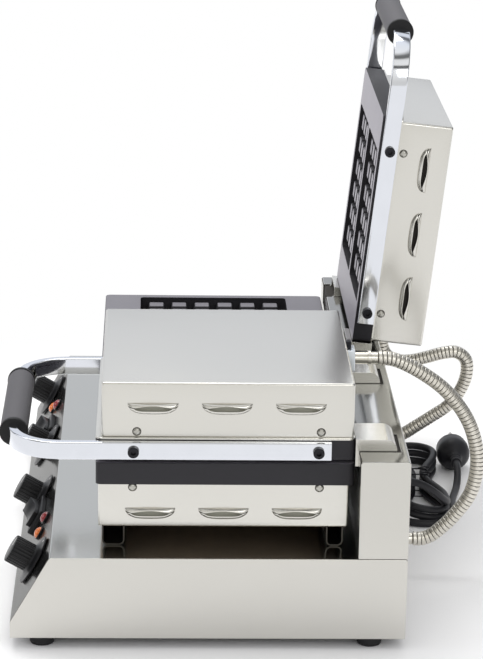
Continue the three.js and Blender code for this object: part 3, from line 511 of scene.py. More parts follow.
def ribbed_metal(name, tone):
    """Plated hose: the seams between its ribs are painted dark as shade in the grooves, read from the
    piece's own attribute.
    """
    finish = Finish(name)
    seam = Amount(finish, finish.node("ShaderNodeAttribute", {"attribute_name": "seam"}).outputs["Fac"])
    haze = finish.noise((120, 120, 120), 3.0, 0.6)
    clean = finish.mixed(haze, shaded(tone, 0.9), shaded(tone, 1.1))
    # The seams are painted dark towards an eighth of the tone, as shade in the grooves.
    finish.put(
        Base_Color=finish.mixed(seam, clean, shaded(tone, 0.12)),
        Metallic=1.0,
        Roughness=0.3 + haze * 0.12 + seam * 0.3,
    )
    return finish.material


# Noise per metre along X, Y and Z; a grain runs along the axes where it is low
LEVEL_GRAIN = (14, 14, 900)
REARWARD_GRAIN = (700, 14, 700)
EVEN_GRAIN = (60, 60, 60)

# Settings that several finishes read
SHEET_TONE = "steel.sheet_colour"
SHEET_SATIN = "steel.sheet_roughness"
DECK_TONE = "steel.deck_colour"
RIM_TONE = "irons.rim_colour"

# Each finish: its maker, its tone or the setting for it, a factor on the tone, the maker's other values.
# The upper ground faces get a lighter copy of the rim tone as a painted reflection, and the lower ones a
# darker copy as painted shade.
RECIPES = {
    "Sheet steel": (rolled_steel, SHEET_TONE, 1, SHEET_SATIN, LEVEL_GRAIN),
    "Lid steel": (rolled_steel, SHEET_TONE, 0.98, SHEET_SATIN, REARWARD_GRAIN),
    # The base's sides, its slope and the riser's top get darker copies of the sheet and deck tones as
    # painted shade; the slope's glance also dims its grazing reflection.
    "Base steel": (rolled_steel, SHEET_TONE, 0.89, SHEET_SATIN, LEVEL_GRAIN),
    "Deck steel": (rolled_steel, DECK_TONE, 1, 0.11, REARWARD_GRAIN),
    "Slope steel": (rolled_steel, DECK_TONE, 0.34, 0.16, LEVEL_GRAIN, 0.6),
    "Riser steel": (rolled_steel, DECK_TONE, 0.56, 0.08, REARWARD_GRAIN),
    "Inner steel": (rolled_steel, (0.3, 0.295, 0.285), 1, 0.36, EVEN_GRAIN),
    # The rails under the casings are painted near black as the shade beneath the casings.
    "Rail steel": (rolled_steel, (0.075, 0.07, 0.062), 1, 0.3, EVEN_GRAIN),
    "Dull inside": (cast_metal, (0.52, 0.515, 0.44), 1, 0.6, 0.00001),
    "Pan steel": (cast_metal, (0.7, 0.57, 0.46), 1, 0.6, 0.00001),
    # The next finish is near black painted shade: inside the riser, inside the open lid's cover and in and
    # around the screw heads.
    "Soot": (cast_metal, (0.04, 0.035, 0.03), 1, 0.7, 0.00004),
    "Seasoned casting": (cast_metal, "irons.casting_colour", 1, 0.4, 0.00012),
    "Upper ground casting": (cast_metal, RIM_TONE, 1.55, 0.3, 0.00003),
    "Ground casting": (cast_metal, RIM_TONE, 0.85, 0.3, 0.00003),
    "Chrome": (bright_metal, "handles.chrome_colour", 1, 0.05),
    "Nickel": (bright_metal, "leads.hose_colour", 1, 0.16),
    "Pale zinc": (bright_metal, (0.72, 0.76, 0.8), 1, 0.3),
    "Screw zinc": (bright_metal, (0.5, 0.49, 0.45), 1, 0.25),
    "Black oxide": (bright_metal, (0.03, 0.03, 0.034), 1, 0.32),
    "Ribbed hose": (ribbed_metal, "leads.hose_colour", 1),
    "Grip rubber": (moulded, "handles.grip_colour", 1, 0.55, 1400, 0.00015),
    "Grip end": (moulded, (0.008, 0.008, 0.009), 1, 0.5, 900, 0.00005),
    "Black plastic": (moulded, "panel.knob_colour", 1, 0.36, 1500, 0.00004),
    "Marking": (moulded, (0.8, 0.8, 0.78), 1, 0.5, 1500, 0.00002),
    "Foot rubber": (moulded, (0.015, 0.015, 0.016), 1, 0.65, 1100, 0.0001),
    "Cord rubber": (moulded, "leads.cord_colour", 1, 0.42, 700, 0.00004),
    "Amber lens": (lens, "panel.amber_colour", 1),
    "Red lens": (lens, "panel.red_colour", 1),
}


def chosen(value):
    """A value as it stands, or the setting that a text like steel.sheet_colour points to."""
    if not isinstance(value, str):
        return value
    group, key = value.split(".")
    return getattr(getattr(bpy.context.scene, f"waffle_{group}"), key)


@functools.cache
def surface(name):
    """The material of one finish, made when it is first asked for."""
    maker, tone, factor, *values = RECIPES[name]
    return maker(name, shaded(chosen(tone), factor), *map(chosen, values))


# Meshes
def rounded(width, length, radius, steps=6):
    """Outline of a rectangle about the origin with round corners."""
    points = []
    for quarter, (sx, sy) in enumerate(((1, 1), (-1, 1), (-1, -1), (1, -1))):
        centre = (sx * (width / 2 - radius), sy * (length / 2 - radius))
        for i in range(steps + 1):
            angle = math.pi / 2 * (quarter + i / steps)
            points.append((centre[0] + radius * math.cos(angle), centre[1] + radius * math.sin(angle)))
    return points


def on_axis(axis, along, a, b):
    """A point from its distance along an axis and its two other coordinates."""
    return {"x": (along, a, b), "y": (a, along, b), "z": (a, b, along)}[axis]


def prism(outline, low, high, axis="z"):
    """A closed solid: an outline carried along an axis."""
    return swept([[on_axis(axis, along, a, b) for a, b in outline] for along in (low, high)])


def bar(radius, low, high, sides=24):
    """A round or many-sided bar along Z."""
    return prism(arc(0, 0, radius, 0, 360 - 360 / sides, sides - 1), low, high)


def block(x0, x1, y0, y1, z0, z1, narrower=0.0):
    """A box whose far end along Z is narrower on each side by a draft."""
    rings = []
    for d, z in ((0.0, z0), (narrower, z1)):
        rings.append([(x0 + d, y0 + d, z), (x1 - d, y0 + d, z), (x1 - d, y1 - d, z), (x0 + d, y1 - d, z)])
    return swept(rings)


def turned(profile, steps=48, closed=False):
    """A piece turned about Z from its radius and height pairs; a closed profile makes a ring."""
    bm = bmesh.new()
    rings = []
    for radius, height in profile:
        count = steps if radius else 1
        angles = [2 * math.pi * i / count for i in range(count)]
        rings.append([bm.verts.new((radius * math.cos(a), radius * math.sin(a), height)) for a in angles])
    if closed:
        rings.append(rings[0])
    for lower, upper in zip(rings, rings[1:]):
        join_rings(bm, lower, upper)
    bmesh.ops.recalc_face_normals(bm, faces=bm.faces)
    return bm


def join_rings(bm, lower, upper):
    """Faces between two rings, either of which may be a single point."""
    count = max(len(lower), len(upper))
    if count == 1:
        return
    for i in range(count):
        after = (i + 1) % count
        if len(lower) == 1:
            bm.faces.new((lower[0], upper[after], upper[i]))
        elif len(upper) == 1:
            bm.faces.new((lower[i], lower[after], upper[0]))
        else:
            bm.faces.new((lower[i], lower[after], upper[after], upper[i]))


def swept(rings):
    """A closed solid through rings of points, with its ends capped."""
    bm = bmesh.new()
    made = [[bm.verts.new(point) for point in ring] for ring in rings]
    for lower, upper in zip(made, made[1:]):
        join_rings(bm, lower, upper)
    bm.faces.new(made[0][::-1])
    bm.faces.new(made[-1])
    bmesh.ops.recalc_face_normals(bm, faces=bm.faces)
    return bm


def tube_rings(points, radius, sides):
    """Rings of a round tube along a path, carried along without twist."""
    rings = []
    side = Vector((0, 0, 1))
    for i, point in enumerate(points):
        ahead = (points[min(i + 1, len(points) - 1)] - points[max(i - 1, 0)]).normalized()
        side = (side - ahead * side.dot(ahead)).normalized()
        up = ahead.cross(side)
        ring = []
        for k in range(sides):
            angle = 2 * math.pi * k / sides
            ring.append(point + side * (radius * math.cos(angle)) + up * (radius * math.sin(angle)))
        rings.append(ring)
    return rings


def together(*parts):
    """Several meshes as one."""
    whole = bmesh.new()
    for part in parts:
        mesh = bpy.data.meshes.new("part")
        part.to_mesh(mesh)
        part.free()
        whole.from_mesh(mesh)
        bpy.data.meshes.remove(mesh)
    return whole


def loose_object(name, bm):
    mesh = bpy.data.meshes.new(name)
    bm.to_mesh(mesh)
    bm.free()
    loose = bpy.data.objects.new(name, mesh)
    bpy.context.scene.collection.objects.link(loose)
    return loose


def discard(loose):
    mesh = loose.data
    bpy.data.objects.remove(loose)
    if isinstance(mesh, bpy.types.Mesh):
        bpy.data.meshes.remove(mesh)
    else:
        bpy.data.curves.remove(mesh)


def evaluated_mesh(loose):
    bpy.context.view_layer.update()
    seen = loose.evaluated_get(bpy.context.evaluated_depsgraph_get())
    return bpy.data.meshes.new_from_object(seen)


def carved(solid, *cutters):
    """A solid less its cutters."""
    body = loose_object("body", solid)
    tool = loose_object("cutter", together(*cutters))
    cut = body.modifiers.new("cut", "BOOLEAN")
    cut.operation = "DIFFERENCE"
    cut.solver = "EXACT"
    cut.object = tool
    mesh = evaluated_mesh(body)
    bm = bmesh.new()
    bm.from_mesh(mesh)
    bpy.data.meshes.remove(mesh)
    discard(body)
    discard(tool)
    return bm


def show(name, mesh, body, nodes=(), rounding=0.0, sharp=35):
    """Makes a finished mesh a piece of the machine that rides on a body."""
    mesh.name = name
    mesh.shade_smooth()
    mesh.set_sharp_from_angle(angle=math.radians(sharp))
    piece = bpy.data.objects.new(name, mesh)
    bpy.context.scene.collection.objects.link(piece)
    if rounding:
        bevel = piece.modifiers.new("rounded edges", "BEVEL")
        bevel.width = rounding * MM
        bevel.segments = 3
        bevel.limit_method = "ANGLE"
        bevel.angle_limit = math.radians(SHARP_EDGE)
        bevel.harden_normals = True
    if body:
        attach(piece, body)
    if nodes:
        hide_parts(*nodes)
    return piece


def mesh_of(bm, place, *finishes):
    """A mesh from millimetres put in its place, with its finishes."""
    mesh = bpy.data.meshes.new("mesh")
    bm.to_mesh(mesh)
    bm.free()
    mesh.transform(place)
    for finish in finishes:
        mesh.materials.append(surface(finish))
    return mesh


# Geometry Nodes
class Pattern(Nodes):
    """A Geometry Nodes tree with named inputs, which ends in plain faces of one material."""

    def __init__(self, name, **inputs):
        super().__init__(bpy.data.node_groups.new(name, "GeometryNodeTree"))
        face = self.tree.interface
        face.new_socket("Geometry", in_out="OUTPUT", socket_type="NodeSocketGeometry")
        self.sockets = {}
        for label, kind in {**inputs, "Material": "Material"}.items():
            self.sockets[label] = face.new_socket(label, in_out="INPUT", socket_type=f"NodeSocket{kind}")
        self.inputs = self.tree.nodes.new("NodeGroupInput").outputs

    def amounts(self, *labels):
        return [Amount(self, self.inputs[label]) for label in labels]

    def shape_of(self, label):
        """The geometry of an object that is an input."""
        return self.node("GeometryNodeObjectInfo", {}, {"Object": self.inputs[label]}).outputs["Geometry"]

    def geometry(self, kind, inputs, settings=None):
        return self.node(f"GeometryNode{kind}", settings, inputs).outputs[0]

    def joined(self, *parts):
        both = self.node("GeometryNodeJoinGeometry")
        for part in parts:
            self.tree.links.new(part, both.inputs[0])
        return both.outputs[0]

    def finish(self, geometry):
        plain = self.geometry("RealizeInstances", {"Geometry": geometry})
        painted = self.geometry("SetMaterial", {"Geometry": plain, "Material": self.inputs["Material"]})
        self.node("NodeGroupOutput", {}, {"Geometry": painted})
        return self

    def made(self, place, **values):
        """The tree's result for these values as a plain mesh in its place."""
        carrier = loose_object("carrier", bmesh.new())
        modifier = carrier.modifiers.new(self.tree.name, "NODES")
        modifier.node_group = self.tree
        for label, value in values.items():
            modifier[self.sockets[label].identifier] = value
        mesh = evaluated_mesh(carrier)
        carrier.modifiers.remove(modifier)
        discard(carrier)
        mesh.transform(place)
        return mesh


@functools.cache
def row_pattern():
    """A piece repeated in a straight row."""
    row = Pattern("Row", Piece="Object", Count="Int", Start="Vector", Step="Vector")
    count, start, step = (row.inputs[label] for label in ("Count", "Start", "Step"))
    line = row.geometry("MeshLine", {"Count": count, "Start Location": start, "Offset": step})
    return row.finish(row.geometry("InstanceOnPoints", {"Points": line, "Instance": row.shape_of("Piece")}))


@functools.cache
def field_pattern():
    """Pegs in rows and columns, in two fields side by side."""
    kinds = {"Peg": "Object", "Across": "Int", "Deep": "Int", "Pitch": "Float", "Offset": "Float"}
    fields = Pattern("Peg fields", **kinds, Foot="Vector")
    across, deep, pitch, offset = fields.amounts("Across", "Deep", "Pitch", "Offset")
    spans = {"Size X": (across - 1.0) * pitch, "Size Y": (deep - 1.0) * pitch}
    grid = fields.geometry("MeshGrid", {**spans, "Vertices X": across, "Vertices Y": deep})
    field = fields.geometry("InstanceOnPoints", {"Points": grid, "Instance": fields.shape_of("Peg")})
    both = []
    for sign in (1, -1):
        beside = fields.node("ShaderNodeCombineXYZ", {}, {"X": offset * sign}).outputs[0]
        centre = fields.vector("ADD", {0: beside, 1: fields.inputs["Foot"]})[0]
        both.append(fields.geometry("Transform", {"Geometry": field, "Translation": centre}))
    return fields.finish(fields.joined(*both))


@functools.cache
def hose_pattern():
    """A ribbed hose along a route, with a bore and a seam between every two ribs."""
    kinds = {"Route": "Object", "Ribs": "Int", "Crest": "Float", "Groove": "Float", "Bore": "Float"}
    hose = Pattern("Ribbed hose", **kinds, Sides="Int")
    ribs, crest, groove, bore = hose.amounts("Ribs", "Crest", "Groove", "Bore")
    rings = 8.0
    steps = ribs * rings + 1.0
    line = hose.geometry("ResampleCurve", {"Curve": hose.shape_of("Route"), "Count": steps})
    index = hose.node("GeometryNodeInputIndex").outputs[0]
    step = hose.math("MODULO", index, rings)
    in_seam = hose.math("LESS_THAN", step, 0.5)
    on_rib = hose.math("COMPARE", step, rings / 2, rings / 2 - 0.6)
    outer = (crest - groove) * ((1.0 - in_seam) * (on_rib * 0.3 + 0.7)) + groove
    at_start = hose.math("LESS_THAN", index, 0.5)
    at_end = hose.math("GREATER_THAN", index, steps - 1.5)
    radius = outer + hose.math("MAXIMUM", at_start, at_end) * (bore - outer)
    # The seam points are stored so that the finish can paint shade into the grooves.
    seam = {"Geometry": line, "Name": "seam", "Value": in_seam}
    marked = hose.geometry("StoreNamedAttribute", seam, {"data_type": "FLOAT", "domain": "POINT"})
    circle = hose.geometry("CurvePrimitiveCircle", {"Resolution": hose.inputs["Sides"], "Radius": 1.0})
    outside = hose.geometry("CurveToMesh", {"Curve": marked, "Profile Curve": circle, "Scale": radius})
    lining = hose.geometry("CurveToMesh", {"Curve": line, "Profile Curve": circle, "Scale": bore})
    inside = hose.geometry("FlipFaces", {"Mesh": lining})
    both = {"Geometry": hose.joined(outside, inside), "Distance": 0.001}
    return hose.finish(hose.geometry("MergeByDistance", both))


def row_mesh(template, place, count, start, step, finish):
    """A row of copies of a template mesh, which is used up."""
    piece = loose_object("template", template)
    values = {"Piece": piece, "Count": count, "Start": start, "Step": step}
    mesh = row_pattern().made(place, **values, Material=surface(finish))
    discard(piece)
    return mesh


def join_meshes(meshes):
    """Several meshes in metres as one, which keeps the materials they share."""
    materials = []
    bm = bmesh.new()
    for mesh in meshes:
        slots = []
        for material in mesh.materials:
            if material not in materials:
                materials.append(material)
            slots.append(materials.index(material))
        first = len(bm.faces)
        bm.from_mesh(mesh)
        bm.faces.ensure_lookup_table()
        for face in bm.faces[first:]:
            face.material_index = slots[face.material_index] if slots else 0
        bpy.data.meshes.remove(mesh)
    whole = mesh_of(bm, Matrix.Identity(4))
    for material in materials:
        whole.materials.append(material)
    return whole


# Routes
def smooth_route(points, per_span=8):
    """Points along a centripetal Catmull-Rom curve through the given ones."""
    points = [Vector(point) for point in points]
    padded = [points[0] * 2 - points[1], *points, points[-1] * 2 - points[-2]]
    route = []
    for p0, p1, p2, p3 in zip(padded, padded[1:], padded[2:], padded[3:]):
        d0, d1, d2 = ((b - a).length ** 0.5 for a, b in ((p0, p1), (p1, p2), (p2, p3)))
        start = ((p1 - p0) / d0 - (p2 - p0) / (d0 + d1) + (p2 - p1) / d1) * d1
        end = ((p2 - p1) / d1 - (p3 - p1) / (d1 + d2) + (p3 - p2) / d2) * d1
        for i in range(per_span):
            t = i / per_span
            route.append(
                p1
                + start * t
                + (p2 * 3 - p1 * 3 - start * 2 - end) * t**2
                + (p1 * 2 - p2 * 2 + start + end) * t**3
            )
    route.append(points[-1])
    return route


def route_length(points):
    return sum((b - a).length for a, b in zip(points, points[1:]))


def smooth_step(t):
    return t * t * (3 - 2 * t)


def hank_point(turns):
    """Point of the hank after a number of turns from the near end of its top layer."""
    layer = math.floor(turns)
    quarters = 4 * (turns - layer)
    stretch = math.floor(quarters)
    t = quarters - stretch
    run, fold = HANK_RUN_HALF, HANK_FOLD_RADIUS
    along = run * (1 - 2 * t)
    angle = math.pi * (t + 0.5)
    fold_x, fold_y = fold * math.cos(angle), fold * math.sin(angle)
    x, y = ((along, fold), (fold_x - run, fold_y), (-along, -fold), (run - fold_x, -fold_y))[stretch]
    waist = 1 - HANK_WAIST * math.cos(math.pi / 2 * min(1, abs(x) / run)) ** 2
    down = layer + smooth_step(t) if stretch == 3 else layer
    return Vector((HANK_CENTRE_X + x, HANK_CENTRE_Y + y * waist, HANK_TOP_Z - down * HANK_LAYER_STEP))


def lead_points():
    """The lead swings a quarter turn to the hank while it sinks onto it."""
    straight_end = DEPTH + RELIEF_LENGTH + 1
    x, y, z = hank_point(0)
    last_x = x + 8
    points = [(CORD_EXIT_X, straight_end - back, CORD_EXIT_Z) for back in (21, 7)]
    steps = 6
    for i in range(steps + 1):
        t = i / steps
        angle = t * math.pi / 2
        point_x = last_x + (CORD_EXIT_X - last_x) * math.cos(angle)
        point_y = straight_end + (y - straight_end) * math.sin(angle)
        points.append((point_x, point_y, CORD_EXIT_Z + (z - CORD_EXIT_Z) * smooth_step(t)))
    return [*points, (x + 4, y, z)]


def tail_points():
    """The tail folds back outside the hank and runs beside it to the plug."""
    x, y, z = hank_point(HANK_TURNS)
    ahead = (hank_point(HANK_TURNS) - hank_point(HANK_TURNS - 0.01)).normalized()
    near_x = HANK_CENTRE_X + HANK_RUN_HALF
    points = [(x + ahead.x * 5, y + ahead.y * 5, z), (x + 18, y - 7.2, z), (x + 34, y - 15.6, z)]
    points += [(a, b, z) for a, b in arc(near_x, HANK_CENTRE_Y, TAIL_FOLD_RADIUS, -90, 90, 6)]
    rear_y = HANK_CENTRE_Y + TAIL_FOLD_RADIUS
    points += [(near_x - 20, rear_y + 0.6, z), (near_x - 40, rear_y + 3, z), (near_x - 58, rear_y + 7, z)]
    points += [(PLUG_X + 40, rear_y + 10.4, z + 1), (PLUG_X + 26, PLUG_Y - 1, z + 5.4)]
    points.append((PLUG_X + 14, PLUG_Y, PLUG_Z - 2.6))
    return [*points, (PLUG_X + 5, PLUG_Y, PLUG_Z), (PLUG_X - 2, PLUG_Y, PLUG_Z)]


def mains_route():
    """The whole lead, from inside the strain relief to inside the plug."""
    steps_per_turn = 48
    steps = round(HANK_TURNS * steps_per_turn)
    hank = [hank_point(HANK_TURNS * i / steps) for i in range(steps + 1)]
    return smooth_route([*lead_points(), *hank, *tail_points()], per_span=2)


def hose_route(side):
    """A hose's route in Y and Z from the lid's gland to the base's gland."""
    lid_end = COVER_REAR_Y + LID_GLAND_END + 0.3
    base_end = DEPTH + BASE_GLAND_END + 0.3
    if side == "right":
        bends = [(lid_end, HOSE_LID_Z), (342, HOSE_LID_Z), (352, 203.4), (374, 193), (402, 172), (424, 141),
                 (433, 105), (428, 72), (412, 47.5), (401, 36), (392, 28.6), (384, 25.3)]
    else:
        bends = [turned_point(lid_end, HOSE_LID_Z), turned_point(lid_end + 6, HOSE_LID_Z), (366.3, 124),
                 (371, 115), (381, 109.5), (396, 109), (412, 112.5), (430, 117.5), (444, 118.5), (454, 111),
                 (456, 97), (451, 79), (439, 61), (420, 47), (403, 35.5), (393, 28.9), (384, 25.3)]
    bends += [(380, HOSE_BASE_Z), (base_end, HOSE_BASE_Z)]
    x = SIDES[side] * IRON_X + HOSE_OFFSET_X
    return smooth_route([(x, y, z) for y, z in bends], per_span=12)


# Shapes
def arc(x, y, radius, start, end, steps=8):
    """Points of an arc between two angles in degrees."""
    angles = [math.radians(start + (end - start) * i / steps) for i in range(steps + 1)]
    return [(x + radius * math.cos(angle), y + radius * math.sin(angle)) for angle in angles]


def filleted(corners, steps=5):
    """An outline from corners given as two coordinates and the corner's radius."""
    points = []
    for i, (x, y, radius) in enumerate(corners):
        corner = Vector((x, y))
        back = (Vector(corners[i - 1][:2]) - corner).normalized()
        onward = (Vector(corners[(i + 1) % len(corners)][:2]) - corner).normalized()
        if not radius:
            points.append((x, y))
            continue
        half = back.angle(onward) / 2
        centre = corner + (back + onward).normalized() * (radius / math.sin(half))
        first = corner + back * (radius / math.tan(half)) - centre
        last = corner + onward * (radius / math.tan(half)) - centre
        start = math.degrees(math.atan2(first.y, first.x))
        turn = (math.degrees(math.atan2(last.y, last.x)) - start + 180) % 360 - 180
        points += arc(*centre, radius, start, start + turn, steps)
    return points


def loaf(width, length, radius, low, high, edge, middle_y=0.0, steps=4):
    """A block with round upright corners and a rounded edge around its far face."""
    step = 1 if high > low else -1
    rings = [(0, low)]
    for i in range(steps + 1):
        angle = math.pi / 2 * i / steps
        rings.append((edge * (1 - math.cos(angle)), high - step * edge * (1 - math.sin(angle))))
    outlines = []
    for inset, z in rings:
        outline = rounded(width - 2 * inset, length - 2 * inset, max(radius - inset, 0.2))
        outlines.append([(x, y + middle_y, z) for x, y in outline])
    return swept(outlines)


def turned_to(bm, axis):
    """Turns a piece drawn along Z so that it stands along another axis."""
    turn = {"x": Matrix.Rotation(math.pi / 2, 4, "Y"), "y": Matrix.Rotation(-math.pi / 2, 4, "X")}[axis]
    bm.transform(turn)
    return bm


def at(bm, x, y, z):
    bm.transform(Matrix.Translation((x, y, z)))
    return bm


def softened(bm, offset, segments=2):
    """Rounds every sharp edge of a small solid."""
    edges = [edge for edge in bm.edges if edge.calc_face_angle(0) > math.radians(SHARP_EDGE)]
    bmesh.ops.bevel(bm, geom=edges, offset=offset, segments=segments, affect="EDGES", profile=0.5)
    return bm


def louvre_depth(along, half, depth):
    """How far a louvre reaches below its slit at a distance from its middle."""
    return depth * max(0.0, 1 - abs(along / half) ** 3.2) ** (1 / 2.2)


def louvre_dome():
    """Pressed louvre that stands out along X: two thin shells with an arched slit between them."""
    half, slit_half, sheet, sunk = LOUVRE_LENGTH / 2, 17.5, 0.8, 0.35
    columns, rows = 32, 8
    shells = ([], [])
    for i in range(columns + 1):
        y = half * math.sin(math.pi / 2 * (2 * i / columns - 1)) * 0.996
        depth = max(louvre_depth(y, half, LOUVRE_HEIGHT), 0.5)
        rise = (LOUVRE_RISE + sunk) * max(0.0, 1 - abs(y / half) ** 3) ** 0.5
        along = min(1.0, abs(y) / slit_half)
        upper = min(3.8 - 2.4 * math.cos(math.pi / 2 * along) ** 1.2, depth * 0.45)
        lower = min(4.0 + 2.4 * (1 - along**6), depth * 0.72)
        brow, bowl = [], []
        for k in range(rows + 1):
            v = k / rows
            turn = math.pi / 2 * v
            brow.append((rise * math.sin(turn) - sunk, 0.3 - (upper + 0.3) * (1 - math.cos(turn))))
            bowl.append((rise * (1 - v**2.6) ** 0.5 - sunk, -(lower + (depth - lower) * v)))
        for rings, outer in zip(shells, (brow, bowl)):
            inner = [(out - sheet, z) for out, z in reversed(outer)]
            rings.append([(out, y, z) for out, z in outer + inner])
    return together(*(swept(rings) for rings in shells))


def louvre_cutters(wall_x, middle_y, slit_z):
    """Cutters for the openings behind the louvres of both side walls."""
    half, reach = LOUVRE_LENGTH / 2 - 0.7, 4
    cutters = []
    for i in range(LOUVRES_PER_SIDE):
        y = middle_y + (i - (LOUVRES_PER_SIDE - 1) / 2) * LOUVRE_PITCH
        steps = 24
        lower = []
        for k in range(1, steps):
            along = half * math.cos(math.pi * k / steps)
            lower.append((y + along, slit_z - louvre_depth(along, half, LOUVRE_HEIGHT - 0.8)))
        outline = [(y - half, slit_z), (y + half, slit_z), *lower]
        for x in (wall_x, -wall_x):
            cutters.append(prism(outline, x - reach, x + reach, "x"))
    return cutters


def span(front, rear):
    """Length and middle between a front and a rear."""
    return rear - front, (rear + front) / 2


def is_within(centre, half_x, front, rear, sheet):
    """Whether a face's middle lies on the inner walls of a box of sheet, or between them."""
    reach = sheet - 0.1
    return abs(centre.x) < half_x - reach and front + reach < centre.y < rear - reach


def with_inside(bm, half_x, front, rear):
    """Gives the faces of a box shell's inside the second finish."""
    for face in bm.faces:
        centre = face.calc_center_median()
        on_top = abs(face.normal.z) > 0.5 and abs(centre.z - COVER_TOP_Z) < 0.5
        face.material_index = int(is_within(centre, half_x, front, rear, WALL) and not on_top)
    return bm


def louvre_rows(place, louvres, finish):
    """The louvres of both side walls."""
    return row_along_y(louvre_dome(), place, louvres, LOUVRES_PER_SIDE, LOUVRE_PITCH, finish)


def row_along_y(template, place, start, count, pitch, finish):
    """A row on the right wall about its X, middle Y and Z, and one, turned about, on the left wall."""
    x, middle_y, z = start
    first = middle_y - pitch * (count - 1) / 2
    meshes = []
    for turn in (Matrix.Identity(4), opposite(middle_y)):
        copy = template.copy()
        meshes.append(row_mesh(copy, place @ turn, count, (x, first, z), (0, pitch, 0), finish))
    template.free()
    return meshes


def cross_head_screw():
    head = turned([(0, -0.5), (3.5, -0.5), (3.5, 0.5), (3.2, 1.3), (2.3, 1.95), (0, 2.2)], 32)
    return turned_to(carved(head, cross_slot(2.1, 0.6, 0.6, 3)), "x")


def cross_slot(half, across, low, high):
    """Two crossed blocks: the recess of a screw head, or the painted shade at its bottom."""
    along = block(-half, half, -across, across, low, high)
    return together(along, block(-across, across, -half, half, low, high))


def screw_rows(place, x, middle_y, z, pitch):
    """Two cross-head screws on each side wall, with painted shade in their recesses and in a dark ring
    around them.
    """
    # The seat ring and the cross block in each recess are painted near black as shade.
    seat = turned([(0, -0.3), (4.1, -0.3), (4, 0.12), (0, 0.12)], 32)
    recess_shade = turned_to(together(cross_slot(2.05, 0.55, 0.5, 0.75), seat), "x")
    rows = row_along_y(cross_head_screw(), place, (x, middle_y, z), 2, pitch, "Screw zinc")
    rows += row_along_y(recess_shade, place, (x, middle_y, z), 2, pitch, "Soot")
    return join_meshes(rows)


def cap_screw():
    head = turned([(0, -0.5), (5, -0.5), (5, 3.9), (4.6, 4.4), (0, 4.4)], 40)
    return turned_to(carved(head, bar(2.5, 1.8, 6, 6)), "x")


def paint(finish, *nodes):
    """Gives CAD nodes that stay in view a finish of their own."""
    for node in nodes:
        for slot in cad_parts[node].material_slots:
            slot.material = surface(finish)


# Base
def base_profile(inset):
    """The base's outline from the side; an inset gives the outline of its inside."""
    lean = math.atan2(FOLD_Y, DECK_Z - FRONT_LIP)
    low = -1 if inset else 0
    fold = BASE_FOLD_RADIUS - inset
    return filleted(
        [
            (inset, low, 0),
            (inset, FRONT_LIP - inset * math.tan(lean / 2), fold * 2),
            (FOLD_Y + inset * math.tan((math.pi / 2 - lean) / 2), DECK_Z - inset, fold),
            (DEPTH - inset, DECK_Z - inset, fold),
            (DEPTH - inset, low, 0),
        ]
    )


def panel_hole(shape, x, up):
    """A cutter through the slope, drawn about its own middle."""
    shape.transform(MACHINE.inverted() @ slope_place() @ Matrix.Translation((x, up, 0)))
    return shape


def base_shell():
    half = WIDTH / 2 - BASE_SHEET
    holes = [prism(base_profile(BASE_SHEET), -half, half, "x")]
    round_holes = [(x, 0, KNOB_HOLE_RADIUS) for x in KNOBS.values()]
    round_holes += [(x, up, LAMP_HOLE_RADIUS) for x, up in LAMPS.values()]
    for sign in (1, -1):
        for x, up, radius in round_holes:
            holes.append(panel_hole(bar(radius, -6, 6), sign * x, PANEL_MID + up))
        w, h = (length / 2 + 0.3 for length in SWITCH_BODY)
        holes.append(panel_hole(block(-w, w, -h, h, -6, 6), sign * SWITCH_X, SWITCH_UP))
        gland = turned_to(bar(LEAD_HOLE_RADIUS, -6, 6), "y")
        holes.append(at(gland, sign * IRON_X + HOSE_OFFSET_X, DEPTH, HOSE_BASE_Z))
        wires = bar(WIRE_HOLE_RADIUS, DECK_Z - 6, DECK_Z + 6)
        holes.append(at(wires, sign * IRON_X, span(CASING_FRONT_Y, CASING_REAR_Y)[1], 0))
    lead = turned_to(bar(LEAD_HOLE_RADIUS, -6, 6), "y")
    holes.append(at(lead, CORD_EXIT_X, DEPTH, CORD_EXIT_Z))
    return carved(prism(base_profile(0), -WIDTH / 2, WIDTH / 2, "x"), *holes)


def riser_housing():
    front, top, low, sheet = RISER_FRONT_Y, RISER_TOP_Z, DECK_Z + 0.3, BASE_SHEET
    half = WIDTH / 2
    corners = [(front, low, 0), (DEPTH, low, 0), (DEPTH, top, 2), (front, top, 2)]
    inner = block(-half + sheet, half - sheet, front + sheet, DEPTH - sheet, low - 1, top - sheet)
    slot_half = ARM_HALF_WIDTH + 1.5
    slot = (front - 2, ARM_SLOT_REAR_Y, ARM_SLOT_LOW_Z, top + 2)
    slots = []
    for iron_x in (IRON_X, -IRON_X):
        for x in (iron_x + ARM_X, iron_x - ARM_X):
            slots.append(block(x - slot_half, x + slot_half, *slot))
    return carved(prism(filleted(corners), -half, half, "x"), inner, *slots)


def finish_zones(bm):
    """Marks level faces with the second finish and the slope with the third."""
    for face in bm.faces:
        if face.normal.z > 0.9:
            face.material_index = 1
        elif face.normal.y < -0.6 and face.normal.z > 0.3:
            face.material_index = 2
    return bm


def build_base(steel):
    edge = steel.fold_radius / MM * 0.65
    # The slope and the riser's top take darker copies of the deck tone, and the base's sides a darker copy
    # of the sheet tone, all as painted shade.
    shell = mesh_of(finish_zones(base_shell()), MACHINE, "Base steel", "Deck steel", "Slope steel")
    show("base_skin", shell, "base", ["base_shell"], edge)
    housing = finish_zones(riser_housing())
    # The faces inside the housing are painted near black as shade.
    for face in housing.faces:
        centre = face.calc_center_median()
        below_top = centre.z < RISER_TOP_Z - BASE_SHEET + 0.1
        if below_top and is_within(centre, WIDTH / 2, RISER_FRONT_Y, DEPTH, BASE_SHEET):
            face.material_index = 2
    riser = mesh_of(housing, MACHINE, "Base steel", "Riser steel", "Soot")
    show("riser_skin", riser, "base", ["riser_housing"], edge)
    paint("Inner steel", "bottom_plate")
    build_feet()
    build_rear_fittings()


